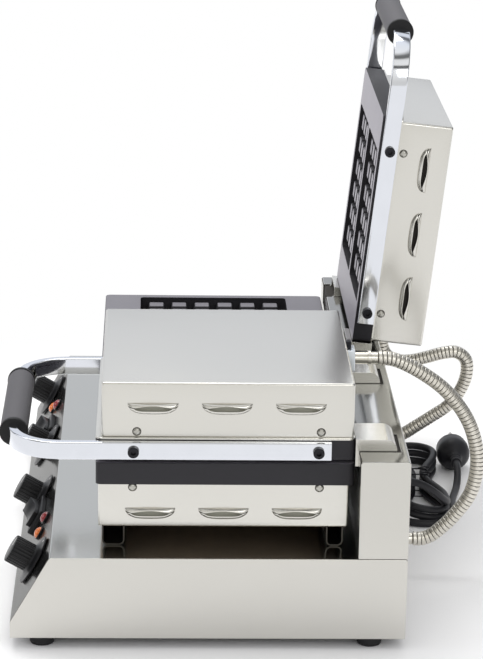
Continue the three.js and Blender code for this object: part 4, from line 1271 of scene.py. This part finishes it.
def build_feet():
    low, r = -FOOT_HEIGHT, FOOT_RADIUS
    profile = [(0, low + 2), (3, low + 2), (3.5, low), (r - 2.8, low), (r - 1.6, low + 0.6)]
    profile += [(r - 1.1, low + 1.6), (r - 0.3, low + 6), (r - 0.3, -2.2), (r, -1.8), (r, -0.4), (0, -0.4)]
    front, rear = FOOT_YS.values()
    for side, sign in SIDES.items():
        start = (sign * FOOT_X, front, 0)
        feet = row_mesh(turned(profile, 40), MACHINE, 2, start, (0, rear - front, 0), "Foot rubber")
        show(f"feet_{side}", feet, "base", [f"foot_{end}_{side}" for end in FOOT_YS])


def build_rear_fittings():
    relief = [(4.1, -4), (5, -4), (5, 0.3), (8, 0.3), (8, 2.6), (7.6, 3), (5.2, 3.4)]
    for i, radius in enumerate((7.2, 6.8, 6.4, 6.0, 5.6)):
        start = 4.4 + i * 4
        relief += [(5, start), (radius, start + 0.3), (radius, start + 2.2), (5, start + 2.5)]
    relief += [(4.9, RELIEF_LENGTH), (4.1, RELIEF_LENGTH)]
    place = wall_place(MACHINE, CORD_EXIT_X, DEPTH, CORD_EXIT_Z)
    mesh = mesh_of(turned(relief, 36, closed=True), place, "Cord rubber")
    show("relief_sleeve", mesh, "base", ["strain_relief"])
    ring = [(GLAND_BORE, -4), (5, -4), (5, 0.3), (9, 0.3), (9, 1.4), (8.2, 1.8), (GLAND_RADIUS, 1.8)]
    ring += [(GLAND_RADIUS, BASE_GLAND_END - 0.6), (GLAND_RADIUS - 0.6, BASE_GLAND_END)]
    ring += [(GLAND_BORE, BASE_GLAND_END)]
    for side in SIDES:
        nut = carved(softened(bar(9, 1.6, 6.4, 6), 0.5), bar(5, 0, 9))
        place = wall_place(iron_place(side), HOSE_OFFSET_X, DEPTH, HOSE_BASE_Z)
        mesh = mesh_of(together(turned(ring, 40, closed=True), nut), place, "Nickel")
        show(f"base_gland_skin_{side}", mesh, "base", [f"base_gland_{side}"])


# Lower irons
def rail(y0, y1):
    """Folded rail under a casing, open along its length."""
    low = DECK_Z + 0.3
    top, radius = CASING_Z + 0.5, 5
    outer = filleted([(y0, top, 0), (y0, low, radius), (y1, low, radius), (y1, top, 0)], 8)
    a, b, inner_radius = y0 + WALL, y1 - WALL, radius - WALL
    hollow = [(a, top + 1, 0), (a, low + WALL, inner_radius), (b, low + WALL, inner_radius), (b, top + 1, 0)]
    half = CASING_WIDTH / 2
    return carved(prism(outer, -half, half, "x"), prism(filleted(hollow, 8), -half - 1, half + 1, "x"))


def casing_shell():
    x = CASING_WIDTH / 2 - WALL
    length, middle = span(CASING_FRONT_Y, CASING_REAR_Y)
    top = LOWER_PLATE_Z - 0.3
    outer = loaf(CASING_WIDTH, length, 1.6, top, CASING_Z, 1.6, middle)
    inner = block(-x, x, CASING_FRONT_Y + WALL, CASING_REAR_Y - WALL, CASING_Z + WALL, top + 1)
    wires = at(bar(WIRE_HOLE_RADIUS, CASING_Z - 6, CASING_Z + 6), 0, middle, 0)
    return carved(outer, inner, wires, *louvre_cutters(*CASING_LOUVRES))


def build_casings():
    for side in SIDES:
        place = iron_place(side)
        shell = with_inside(casing_shell(), CASING_WIDTH / 2, CASING_FRONT_Y, CASING_REAR_Y)
        for face in shell.faces:
            if face.normal.z < -0.5 and face.calc_center_median().z < CASING_Z + 0.5:
                face.material_index = 2
        parts = [mesh_of(shell, place, "Sheet steel", "Dull inside", "Pan steel")]
        # The rails take a near black finish as painted shade.
        parts += [mesh_of(rail(y0, y1), place, "Rail steel") for y0, y1 in RAILS_Y]
        parts += louvre_rows(place, CASING_LOUVRES, "Sheet steel")
        show(f"casing_skin_{side}", join_meshes(parts), "base", [f"lower_casing_{side}"])
        screws = screw_rows(place, CASING_WIDTH / 2, *CASING_SCREWS)
        show(f"casing_screws_{side}", screws, "base")
        paint("Inner steel", f"lower_element_{side}")


# Waffle plates
def plate_blank(low, rim, depth):
    """A casting with two drafted recesses in its rim side and a rounded back edge."""
    inward = -1 if rim > low else 1
    length, middle = span(PLATE_FRONT_Y, PLATE_REAR_Y)
    cutters = []
    for x in (FIELD_OFFSET_X, -FIELD_OFFSET_X):
        mouth = loaf(FIELD_WIDTH, FIELD_LENGTH, 4, rim - inward, rim + inward * depth, 1.6)
        cutters.append(at(mouth, x, FIELD_MIDDLE_Y, 0))
    return carved(loaf(PLATE_WIDTH, length, 5, low, rim, 0.7, middle), *cutters)


def peg_parts(irons, up):
    """A tapered square peg and its ground top, from the peg's foot up or down."""
    foot, top = irons.peg_foot / MM, irons.peg_top / MM
    height = irons.field_depth / MM - PEG_BELOW_RIM
    h, cap_half = foot / 2, top / 2 - 0.75
    body = softened(block(-h, h, -h, h, -0.6, height, (foot - top) / 2), 1.1, 3)
    cap = prism(rounded(2 * cap_half, 2 * cap_half, 1, 3), height - 0.4, height + 0.05)
    if up < 0:
        for part in (body, cap):
            part.transform(Matrix.Rotation(math.pi, 4, "X"))
    return body, cap


def peg_fields(irons, place, template, foot_z, finish):
    """Both fields of one plate, filled with copies of a template mesh, which is used up."""
    piece = loose_object("template", template)
    mesh = field_pattern().made(
        place,
        Peg=piece,
        Across=irons.pegs_across,
        Deep=irons.pegs_deep,
        Pitch=irons.peg_pitch / MM,
        Offset=float(FIELD_OFFSET_X),
        Foot=(0, FIELD_MIDDLE_Y, foot_z),
        Material=surface(finish),
    )
    discard(piece)
    return mesh


def build_plates(irons):
    depth = irons.field_depth / MM
    # The upper rims take a lighter copy of the rim tone as painted reflection, and the lower rims a darker
    # copy as painted shade.
    levels = {
        "lower": (LOWER_PLATE_Z, PARTING_Z, 1, "Ground casting"),
        "upper": (UPPER_PLATE_TOP, PARTING_Z + PARTING_GAP, -1, "Upper ground casting"),
    }
    for side in SIDES:
        for level, (back, rim, up, ground) in levels.items():
            place, body = iron_place(side), "base"
            if level == "upper":
                place, body = lid_place(side), f"lid_{side}"
            blank = plate_blank(back, rim, depth)
            for face in blank.faces:
                centre = face.calc_center_median()
                face.material_index = int(abs(centre.z - rim) < 0.3 and abs(face.normal.z) > 0.9)
            finishes = ("Seasoned casting", ground)
            parts = [mesh_of(blank, place, *finishes)]
            for template, finish in zip(peg_parts(irons, up), finishes):
                parts.append(peg_fields(irons, place, template, rim - up * depth, finish))
            show(f"{level}_iron_{side}", join_meshes(parts), body, [f"{level}_plate_{side}"])


# Lids
def cover_shell():
    x = COVER_WIDTH / 2 - WALL
    length, middle = span(COVER_FRONT_Y, COVER_REAR_Y)
    outer = loaf(COVER_WIDTH, length, 2.6, COVER_LOW_Z, COVER_TOP_Z, 1.8, middle)
    inner = block(-x, x, COVER_FRONT_Y + WALL, COVER_REAR_Y - WALL, COVER_LOW_Z - 1, COVER_TOP_Z - WALL)
    gland = at(turned_to(bar(5.5, -6, 6), "y"), HOSE_OFFSET_X, COVER_REAR_Y, HOSE_LID_Z)
    return carved(outer, inner, gland, *louvre_cutters(*COVER_LOUVRES))


def flange_frame():
    length, middle = span(PLATE_FRONT_Y, PLATE_REAR_Y)
    low = UPPER_PLATE_TOP + 0.3
    hole = prism(rounded(PLATE_WIDTH - 2 * FLANGE_RIM, length - 2 * FLANGE_RIM, 3), low - 1, low + 3)
    outer = loaf(PLATE_WIDTH, length, 6, low, low + FLANGE_SHEET, 0.4, middle)
    return carved(outer, at(hole, 0, middle, 0))


def build_covers():
    for side in SIDES:
        place, body = lid_place(side), f"lid_{side}"
        shell = with_inside(cover_shell(), COVER_WIDTH / 2, COVER_FRONT_Y, COVER_REAR_Y)
        # The open lid's cover is painted near black inside as shade; the closed one keeps the dull inside
        # finish.
        parts = [mesh_of(shell, place, "Lid steel", "Soot" if side == "left" else "Dull inside")]
        parts += louvre_rows(place, COVER_LOUVRES, "Lid steel")
        show(f"cover_skin_{side}", join_meshes(parts), body, [f"lid_cover_{side}"])
        flange = mesh_of(flange_frame(), place, "Lid steel")
        show(f"flange_skin_{side}", flange, body, [f"lid_flange_{side}"])
        screws = screw_rows(place, COVER_WIDTH / 2, *COVER_SCREWS)
        show(f"cover_screws_{side}", screws, body)
        paint("Inner steel", f"upper_element_{side}")


def build_lid_gland(side):
    """Pale square block on the cover's rear, with the tube that the hose slides over."""
    half, end, r = LID_GLAND_BLOCK / 2, LID_GLAND_END, GLAND_RADIUS
    square = carved(softened(block(-half, half, -half, half, 0.3, 10), 0.9, 3), bar(GLAND_BORE, -20, 60))
    stem = turned([(GLAND_BORE, -4), (5, -4), (5, 1), (GLAND_BORE, 1)], 40, closed=True)
    tube = [(GLAND_BORE, 8), (r, 8), (r, 22), (7, 22.4), (7, 25.2), (r, 25.6)]
    tube += [(r, end - 0.5), (r - 0.5, end), (GLAND_BORE, end)]
    clamp = softened(block(-4, 4, -half - 7, -half - 0.4, 0.3, 6.5), 0.6)
    place = wall_place(lid_place(side), HOSE_OFFSET_X, COVER_REAR_Y, HOSE_LID_Z)
    parts = [mesh_of(together(square, stem), place, "Pale zinc"), mesh_of(clamp, place, "Black oxide")]
    parts.append(mesh_of(turned(tube, 40, closed=True), place, "Nickel"))
    show(f"lid_gland_skin_{side}", join_meshes(parts), f"lid_{side}", [f"lid_gland_{side}"])


# Handles
def handle_bar():
    """Flat bar on edge, swept along a long U that lies level."""
    run_x = PLATE_WIDTH / 2 + 0.3 + BAR_THICKNESS / 2
    bend_y = GRIP_Y + BAR_BEND_RADIUS
    bend_x = run_x - BAR_BEND_RADIUS
    steps = 18
    route = [((run_x, BAR_REAR_Y), (1, 0)), ((run_x, BAR_REAR_Y - 1), (1, 0))]
    for i in range(steps + 1):
        angle = -math.pi / 2 * i / steps
        out = (math.cos(angle), math.sin(angle))
        route.append(((bend_x + BAR_BEND_RADIUS * out[0], bend_y + BAR_BEND_RADIUS * out[1]), out))
    route += [((-x, y), (-a, b)) for (x, y), (a, b) in reversed(route)]
    section = rounded(BAR_THICKNESS, BAR_HEIGHT, 1.1, 4)
    rings = []
    for (x, y), (a, b) in route:
        rings.append([(x + a * across, y + b * across, BAR_Z + up) for across, up in section])
    return swept(rings)


def grip(radius):
    """Sleeve with a slightly wider black cap on each end."""
    half, cap, edge = GRIP_LENGTH / 2, 5.5, 1.8
    wide = radius + 0.5
    profile = [(0, -half)]
    profile += [(wide - edge + across, -half + edge + along) for across, along in arc(0, 0, edge, -90, 0, 5)]
    profile += [(wide, -half + cap - 0.5), (wide - 0.4, -half + cap), (radius - 0.5, -half + cap)]
    profile += [(radius - 0.5, -half + cap + 0.6), (radius, -half + cap + 1)]
    profile += [(r, -z) for r, z in reversed(profile)]
    sleeve = turned(profile, 56)
    for face in sleeve.faces:
        face.material_index = int(abs(face.calc_center_median().z) > half - cap - 0.3)
    return at(turned_to(sleeve, "x"), 0, GRIP_Y, BAR_Z)


def build_handles(handles):
    middle_y, height, pitch = BAR_SCREWS
    for side in SIDES:
        place, body = lid_place(side), f"lid_{side}"
        bar_mesh = mesh_of(handle_bar(), place, "Chrome")
        show(f"bar_{side}", bar_mesh, body, [f"handle_bar_{side}"])
        sleeve = mesh_of(grip(handles.grip_radius / MM), place, "Grip rubber", "Grip end")
        show(f"grip_{side}", sleeve, body, [f"handle_grip_{side}"])
        screws = row_along_y(cap_screw(), place, (BAR_OUTER_X, middle_y, height), 2, pitch, "Black oxide")
        show(f"bar_screws_{side}", join_meshes(screws), body)


# Hinges
def hinge_arm():
    front, sheet, top, rear = PLATE_REAR_Y + 0.3, 2.5, 178, 342
    lip, radius, hub = 153, 10.5, 9.5
    outline = [(front, lip), (front, top)]
    outline += arc(rear - radius, top - radius, radius, 90, 0, 10)
    outline += arc(HINGE_Y, HINGE_Z, hub, -20, -140, 12)
    outline += [(front + sheet + 0.2, lip)]
    hollow = [(front + sheet, 140), (front + sheet, top - sheet)]
    hollow += arc(rear - radius, top - radius, radius - sheet, 90, 0, 10)
    hollow += [(rear - sheet, 140)]
    half = ARM_HALF_WIDTH
    cavity = prism(hollow, -half + sheet, half - sheet, "x")
    bore = at(turned_to(bar(4.3, -half - 2, half + 2), "x"), 0, HINGE_Y, HINGE_Z)
    return carved(prism(outline, -half, half, "x"), cavity, bore)


def build_hinges():
    for side in SIDES:
        for name, sign in (("outer", SIDES[side]), ("inner", -SIDES[side])):
            place = lid_place(side) @ Matrix.Translation((sign * ARM_X, 0, 0))
            arm, node = mesh_of(hinge_arm(), place, "Lid steel"), f"hinge_arm_{name}_{side}"
            show(f"arm_{name}_{side}", arm, f"lid_{side}", [node], 0.6)
        paint("Inner steel", f"hinge_bracket_{side}")
        paint("Screw zinc", f"hinge_shaft_{side}")


# Front panel
def knob(panel):
    """Fluted grip on a thin skirt; its pointer is made by pointer()."""
    radius, height = panel.knob_radius / MM, panel.knob_height / MM
    block_radius, flutes = 13, 24
    profile = [(0, 1), (radius - 0.4, 1), (radius, 1.4), (radius, 2.2), (radius - 0.4, 2.6)]
    profile += [(radius - 3, 2.9), (block_radius + 3, 3.8), (block_radius + 1, 4.6)]
    profile += [(block_radius - 0.6, 6.4), (0, 6.4)]
    rings = []
    for inset, z in ((0, 6), (0, height - 1.4), (0.4, height - 0.4), (1.4, height)):
        ring = []
        for i in range(flutes * 6):
            angle = 2 * math.pi * i / (flutes * 6)
            flute = 0.75 * max(0.0, math.cos(angle * flutes)) ** 2
            reach = block_radius - flute - inset
            ring.append((reach * math.cos(angle), reach * math.sin(angle), z))
        rings.append(ring)
    return together(turned(profile, 72), swept(rings))


def pointer(panel):
    radius, height = panel.knob_radius / MM, panel.knob_height / MM
    on_skirt = block(-0.6, 0.6, 16.5, radius - 2.4, 2.6, 3.2)
    on_top = block(-0.6, 0.6, 3, 11, height - 0.3, height + 0.12)
    return together(on_skirt, on_top)


def rocker():
    half, depth = SWITCH_BODY[0] / 2 - 3.2, SWITCH_BODY[1] - 5
    outline = [(-half, 1), (-half, 11), *arc(0, 38, 30, -106, -74, 6), (half, 11), (half, 1)]
    outline += arc(0, -1, 7, 0, -180, 14)
    solid = softened(prism(outline, -depth / 2, depth / 2, "y"), 0.5, 2)
    tilt = Matrix.Translation((0, 0, 1)) @ Matrix.Rotation(math.radians(9), 4, "Y")
    solid.transform(tilt)
    return solid


def switch_frame():
    w, h = SWITCH_BODY
    bezel = loaf(w + 6, h + 5, 3, 0.3, 5, 1.2)
    body = block(-w / 2, w / 2, -h / 2, h / 2, -18, 4)
    well = block(-w / 2 + 1.5, w / 2 - 1.5, -h / 2 + 1.5, h / 2 - 1.5, -14, 6)
    return together(carved(bezel, well.copy()), carved(body, well))


def pilot_lamp():
    bezel = [(0, -10), (4.5, -10), (4.5, 0.3), (6.5, 0.3), (6.5, 1.5), (6.1, 2), (5.6, 2), (0, 1)]
    cap = [(0, 0.5), (5.6, 0.5), (5.6, 2.2), (4.9, 3.4), (3.6, 4.5), (1.9, 5.2), (0, 5.4)]
    return turned(bezel, 32), turned(cap, 32)


def build_panel(panel):
    slope = slope_place()
    for side, sign in SIDES.items():
        for name, x in KNOBS.items():
            place = slope @ Matrix.Translation((sign * x, PANEL_MID, 0))
            parts = [mesh_of(knob(panel), place, "Black plastic"), mesh_of(pointer(panel), place, "Marking")]
            body = f"{name}_knob_{side}"
            show(f"{name}_dial_{side}", join_meshes(parts), body, [body])
            paint("Inner steel", f"{name}_body_{side}")
        place = slope @ Matrix.Translation((sign * SWITCH_X, SWITCH_UP, 0))
        surround = mesh_of(switch_frame(), place, "Black plastic")
        show(f"switch_surround_{side}", surround, "base", [f"switch_frame_{side}"], sharp=30)
        paddle, node = mesh_of(rocker(), place, "Black plastic"), f"switch_rocker_{side}"
        show(f"switch_paddle_{side}", paddle, node, [node])
        for name, (x, up) in LAMPS.items():
            place = slope @ Matrix.Translation((sign * x, PANEL_MID + up, 0))
            bezel, cap = pilot_lamp()
            parts = [mesh_of(bezel, place, "Black plastic"), mesh_of(cap, place, f"{name.title()} lens")]
            show(f"{name}_light_{side}", join_meshes(parts), "base", [f"{name}_lamp_{side}"])


# Hoses and mains lead
def build_hoses(leads):
    for side in SIDES:
        route = hose_route(side)
        curve = bpy.data.curves.new("route", "CURVE")
        curve.dimensions = "3D"
        spline = curve.splines.new("POLY")
        spline.points.add(len(route) - 1)
        for point, where in zip(spline.points, route):
            point.co = (*where, 1)
        line = bpy.data.objects.new("route", curve)
        bpy.context.scene.collection.objects.link(line)
        length = route_length(route)
        mesh = hose_pattern().made(
            MACHINE,
            Route=line,
            Ribs=round(length / (leads.hose_pitch / MM)),
            Crest=leads.hose_crest / MM,
            Groove=leads.hose_groove / MM,
            Bore=GLAND_BORE + 0.1,
            Sides=24,
            Material=surface("Ribbed hose"),
        )
        discard(line)
        hose = show(f"ribbed_hose_{side}", mesh, None, [f"hose_{side}"], sharp=60)
        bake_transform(hose)
        MACHINE @ route[-1]
        [tuple(MACHINE @ point) for point in route]


def plug():
    profile = [(0, 0), (5.5, 0), (5.7, 4), (5.2, 4.6), (5.9, 5.2), (6.2, 9), (5.8, 9.6), (6.6, 10.2)]
    profile += [(7.5, 14), (9.2, 16), (12, 18), (14.4, 20.6), (16, 24), (17.1, 27), (PLUG_RADIUS, 30)]
    profile += [(PLUG_RADIUS, 37.4), (17.1, 38.6), (16.5, 40), (16.5, 46.2), (15.8, 47), (0, 47)]
    return turned(profile, 64)


def plug_pins():
    profile = [(0, 45), (2.4, 45), (2.4, 64.4), (1.7, 65.7), (0, 66)]
    return together(*(at(turned(profile, 24), 0, y, 0) for y in (-9.5, 9.5)))


def hank_tie():
    """Thin wire around the hank's waist, twisted together on top."""
    half = HANK_FOLD_RADIUS * (1 - HANK_WAIST) + 4.9
    high, low = HANK_TOP_Z + 4.3, -FOOT_HEIGHT + 0.5
    middle = (high + low) / 2
    outline = rounded(2 * half, high - low, 4.4, 6)
    loop = [Vector((0, y, z + middle)) for y, z in [*outline, outline[0]]]
    knot = [Vector((x, y, high + up)) for x, y, up in ((0, 0, 0), (1.5, 3, 2), (2, 8, 3), (3, 12, 2.4))]
    return together(*(swept(tube_rings(smooth_route(path, 2), 0.7, 10)) for path in (loop, knot)))


def build_lead(leads):
    route = mains_route()
    cord = mesh_of(swept(tube_rings(route, leads.cord_radius / MM, 20)), MACHINE, "Cord rubber")
    lead = show("mains_lead", cord, "base", ["cord_lead", "cord_hank", "cord_tail"])
    turn = Matrix.Translation((PLUG_X, PLUG_Y, PLUG_Z)) @ Matrix.Rotation(-math.pi / 2, 4, "Y")
    body = mesh_of(plug(), MACHINE @ turn, "Cord rubber")
    pins = mesh_of(plug_pins(), MACHINE @ turn @ Matrix.Rotation(math.pi / 2, 4, "Z"), "Nickel")
    plug_piece = show("plug_body", join_meshes([body, pins]), "base", ["mains_plug"])
    start = (HANK_CENTRE_X - 6, HANK_CENTRE_Y, 0)
    ties = row_mesh(hank_tie(), MACHINE, 2, start, (17, 0, 0), "Black oxide")
    tie_piece = show("hank_ties", ties, "base")
    route_length(route) * MM
    [tuple(MACHINE @ point) for point in [*route[::2], route[-1]]]


# Stage
def floor_finish(tone, reach):
    """Matt floor that keeps the soft shadow and turns plain white away from the machine."""
    floor = Finish("Floor")
    base = floor.mixed(floor.noise((3, 3, 3), 2.0), shaded(tone, 0.995), shaded(tone, 1.005))
    floor.put(Base_Color=base, Roughness=0.9, Specular_IOR_Level=0.0)
    white = floor.node("ShaderNodeEmission", {}, {"Color": (1, 1, 1), "Strength": 1.0})
    distance = floor.vector("LENGTH", {0: floor.place})["Value"]
    far = Amount(floor, distance).between(reach * 0.55, reach)
    mix = floor.mixed_shaders(far, floor.surface, white)
    floor.feed(floor.output.inputs["Surface"], mix.outputs[0])
    return floor.material


def room(level):
    """White to the camera; a plain room with soft darker bands to reflecting surfaces."""
    world = bpy.data.worlds.new("Room")
    world.use_nodes = True
    sky = Nodes(world.node_tree)
    sky.tree.nodes.clear()
    direction = sky.node("ShaderNodeTexCoord").outputs["Generated"]
    x, y, z = sky.node("ShaderNodeSeparateXYZ", {}, {"Vector": direction}).outputs
    height = sky.node("ShaderNodeValToRGB", {}, {"Fac": z})
    ramp = height.color_ramp.elements
    for element, (where, tone) in zip((ramp[0], ramp[1]), (ROOM_BANDS[0], ROOM_BANDS[-1])):
        element.position = where
        element.color = (tone, tone, tone, 1)
    for where, tone in ROOM_BANDS[1:-1]:
        ramp.new(where).color = (tone, tone, tone, 1)
    near = sky.node("ShaderNodeMapRange", {}, {0: x, 1: -0.3, 2: 0.5}).outputs["Result"]
    cool_to_warm = sky.mixed(near, (0.93, 0.96, 1.02), (1.05, 1.04, 1.0))
    tinted = sky.vector("MULTIPLY", {0: height.outputs["Color"], 1: cool_to_warm})[0]
    fall = {0: sky.math("ABSOLUTE", y), 1: 0.35, 2: 0.7, 3: 1.0, 4: 0.3}
    side_band = sky.node("ShaderNodeMapRange", {"interpolation_type": "SMOOTHSTEP"}, fall)
    banded = sky.vector("SCALE", {0: tinted, "Scale": side_band.outputs["Result"]})[0]
    seen = sky.node("ShaderNodeLightPath").outputs
    reflected = sky.node("ShaderNodeBackground", {}, {"Color": banded, "Strength": 1.0})
    matt = sky.node("ShaderNodeBackground", {}, {"Color": (1, 1, 1), "Strength": level})
    white = sky.node("ShaderNodeBackground", {}, {"Color": (1, 1, 1), "Strength": 1.0})
    lit = sky.mixed_shaders(seen["Is Glossy Ray"], matt, reflected)
    clear = sky.math("MAXIMUM", seen["Is Camera Ray"], seen["Is Transmission Ray"])
    whole = sky.mixed_shaders(clear, lit, white)
    sky.node("ShaderNodeOutputWorld", {}, {"Surface": whole.outputs[0]})
    return world


def soft_lamp(name, where, width, power, tone):
    """A wide lamp that looks at the machine's middle."""
    data = bpy.data.lights.new(name, "AREA")
    data.shape = "RECTANGLE"
    data.size = width
    data.size_y = width * 0.7
    data.energy = power
    data.color = tone
    lamp = bpy.data.objects.new(name, data)
    bpy.context.scene.collection.objects.link(lamp)
    lamp.location = where
    lamp.rotation_euler = (Vector((0, 0, 0.15)) - Vector(where)).to_track_quat("-Z", "Y").to_euler()
    return lamp


def camera_matrix():
    """The fitted place of the camera, on the machine's right and a little above."""
    level = math.cos(CAMERA_DOWN)
    ahead = Vector((-math.cos(CAMERA_TURN) * level, math.sin(CAMERA_TURN) * level, -math.sin(CAMERA_DOWN)))
    across = ahead.cross(Vector((0, 0, 1))).normalized()
    up = across.cross(ahead)
    x_axis = across * math.cos(CAMERA_ROLL) + up * math.sin(CAMERA_ROLL)
    y_axis = up * math.cos(CAMERA_ROLL) - across * math.sin(CAMERA_ROLL)
    matrix = Matrix((x_axis, y_axis, -ahead)).transposed().to_4x4()
    matrix.translation = CAMERA_PLACE
    return matrix


def build_stage(stage):
    scene = bpy.context.scene
    data = bpy.data.cameras.new("Camera")
    data.sensor_fit = "VERTICAL"
    data.sensor_height = 36
    data.lens = CAMERA_LENS
    camera = bpy.data.objects.new("Camera", data)
    scene.collection.objects.link(camera)
    camera.matrix_world = camera_matrix()
    scene.camera = camera
    scene.view_settings.view_transform = "Standard"
    scene.world = room(stage.room_level)
    half = FLOOR_HALF
    bm = bmesh.new()
    corners = ((-half, -half, 0), (half, -half, 0), (half, half, 0), (-half, half, 0))
    bm.faces.new([bm.verts.new(corner) for corner in corners])
    floor = loose_object("floor", bm)
    floor.data.materials.append(floor_finish(tuple(stage.floor_colour), FLOOR_REACH))
    power = stage.lamp_power
    lamps = [
        soft_lamp("upper_lamp", (-0.8, -0.35, 2.0), 1.6, power, (1, 0.99, 0.97)),
        soft_lamp("side_lamp", (2.6, 0.9, 1.5), 1.2, power * 0.35, (0.97, 0.98, 1)),
        soft_lamp("front_lamp", (-0.2, -2.3, 1.3), 1.8, power * 0.5, (0.97, 0.98, 1)),
    ]


# Operators
class WaffleStage(bpy.types.Operator):
    """Sets the camera, the floor, the room and the lamps"""

    bl_idname = "waffle.stage"
    bl_label = "Stage"

    def execute(self, context):
        build_stage(context.scene.waffle_stage)
        return {"FINISHED"}


class WaffleBase(bpy.types.Operator):
    """Builds the folded base, its rear housing, feet and rear fittings"""

    bl_idname = "waffle.base"
    bl_label = "Base"

    def execute(self, context):
        build_base(context.scene.waffle_steel)
        return {"FINISHED"}


class WaffleCasings(bpy.types.Operator):
    """Builds the louvred casings of the lower irons"""

    bl_idname = "waffle.casings"
    bl_label = "Lower casings"

    def execute(self, context):
        build_casings()
        return {"FINISHED"}


class WafflePlates(bpy.types.Operator):
    """Builds the four waffle plates with their pegs"""

    bl_idname = "waffle.plates"
    bl_label = "Waffle plates"

    def execute(self, context):
        build_plates(context.scene.waffle_irons)
        return {"FINISHED"}


class WaffleCovers(bpy.types.Operator):
    """Builds the louvred covers of the lids, their flanges and glands"""

    bl_idname = "waffle.covers"
    bl_label = "Lid covers"

    def execute(self, context):
        build_covers()
        for side in SIDES:
            build_lid_gland(side)
        return {"FINISHED"}


class WaffleHandles(bpy.types.Operator):
    """Builds the handle bars with their grips and cap screws"""

    bl_idname = "waffle.handles"
    bl_label = "Handles"

    def execute(self, context):
        build_handles(context.scene.waffle_handles)
        return {"FINISHED"}


class WaffleHinges(bpy.types.Operator):
    """Builds the hinge arms and finishes the shafts and brackets"""

    bl_idname = "waffle.hinges"
    bl_label = "Hinges"

    def execute(self, context):
        build_hinges()
        return {"FINISHED"}


class WafflePanel(bpy.types.Operator):
    """Builds the knobs, switches and lamps of the front panel"""

    bl_idname = "waffle.panel"
    bl_label = "Front panel"

    def execute(self, context):
        build_panel(context.scene.waffle_panel)
        return {"FINISHED"}


class WaffleHoses(bpy.types.Operator):
    """Builds the ribbed hose of each lid"""

    bl_idname = "waffle.hoses"
    bl_label = "Ribbed hoses"

    def execute(self, context):
        build_hoses(context.scene.waffle_leads)
        return {"FINISHED"}


class WaffleLead(bpy.types.Operator):
    """Builds the mains lead in its hank, with ties and plug"""

    bl_idname = "waffle.lead"
    bl_label = "Mains lead"

    def execute(self, context):
        build_lead(context.scene.waffle_leads)
        return {"FINISHED"}


OPERATORS = (
    WaffleStage,
    WaffleBase,
    WaffleLead,
    WaffleHoses,
    WaffleCasings,
    WafflePlates,
    WaffleCovers,
    WaffleHandles,
    WaffleHinges,
    WafflePanel,
)

SETTINGS = {
    "waffle_stage": WaffleStageSettings,
    "waffle_steel": WaffleSteelSettings,
    "waffle_irons": WaffleIronSettings,
    "waffle_handles": WaffleHandleSettings,
    "waffle_panel": WafflePanelSettings,
    "waffle_leads": WaffleLeadSettings,
}


class WaffleSidebar(bpy.types.Panel):
    """Lists the settings and the pieces of the waffle maker"""

    bl_idname = "VIEW3D_PT_waffle"
    bl_label = "Double waffle maker"
    bl_space_type = "VIEW_3D"
    bl_region_type = "UI"
    bl_category = "Waffle"

    def draw(self, context):
        for name, kind in SETTINGS.items():
            group = getattr(context.scene, name)
            box = self.layout.box()
            box.label(text=kind.__doc__)
            for key in kind.__annotations__:
                box.prop(group, key)
        for operator in OPERATORS:
            self.layout.operator(operator.bl_idname)


CLASSES = (*SETTINGS.values(), *OPERATORS, WaffleSidebar)


def register():
    for kind in CLASSES:
        bpy.utils.register_class(kind)
    for name, kind in SETTINGS.items():
        setattr(bpy.types.Scene, name, PointerProperty(type=kind))


def unregister():
    for name in SETTINGS:
        delattr(bpy.types.Scene, name)
    for kind in reversed(CLASSES):
        bpy.utils.unregister_class(kind)


def plain(bounds):
    return [list(corner) for corner in bounds]


def main():
    register()
    bpy.ops.waffle.stage()
    bpy.ops.waffle.base()
    bpy.ops.waffle.lead()
    bpy.ops.waffle.hoses()
    bpy.ops.waffle.casings()
    bpy.ops.waffle.plates()
    bpy.ops.waffle.covers()
    bpy.ops.waffle.handles()
    bpy.ops.waffle.hinges()
    bpy.ops.waffle.panel()


if __name__ == "__main__":
    main()
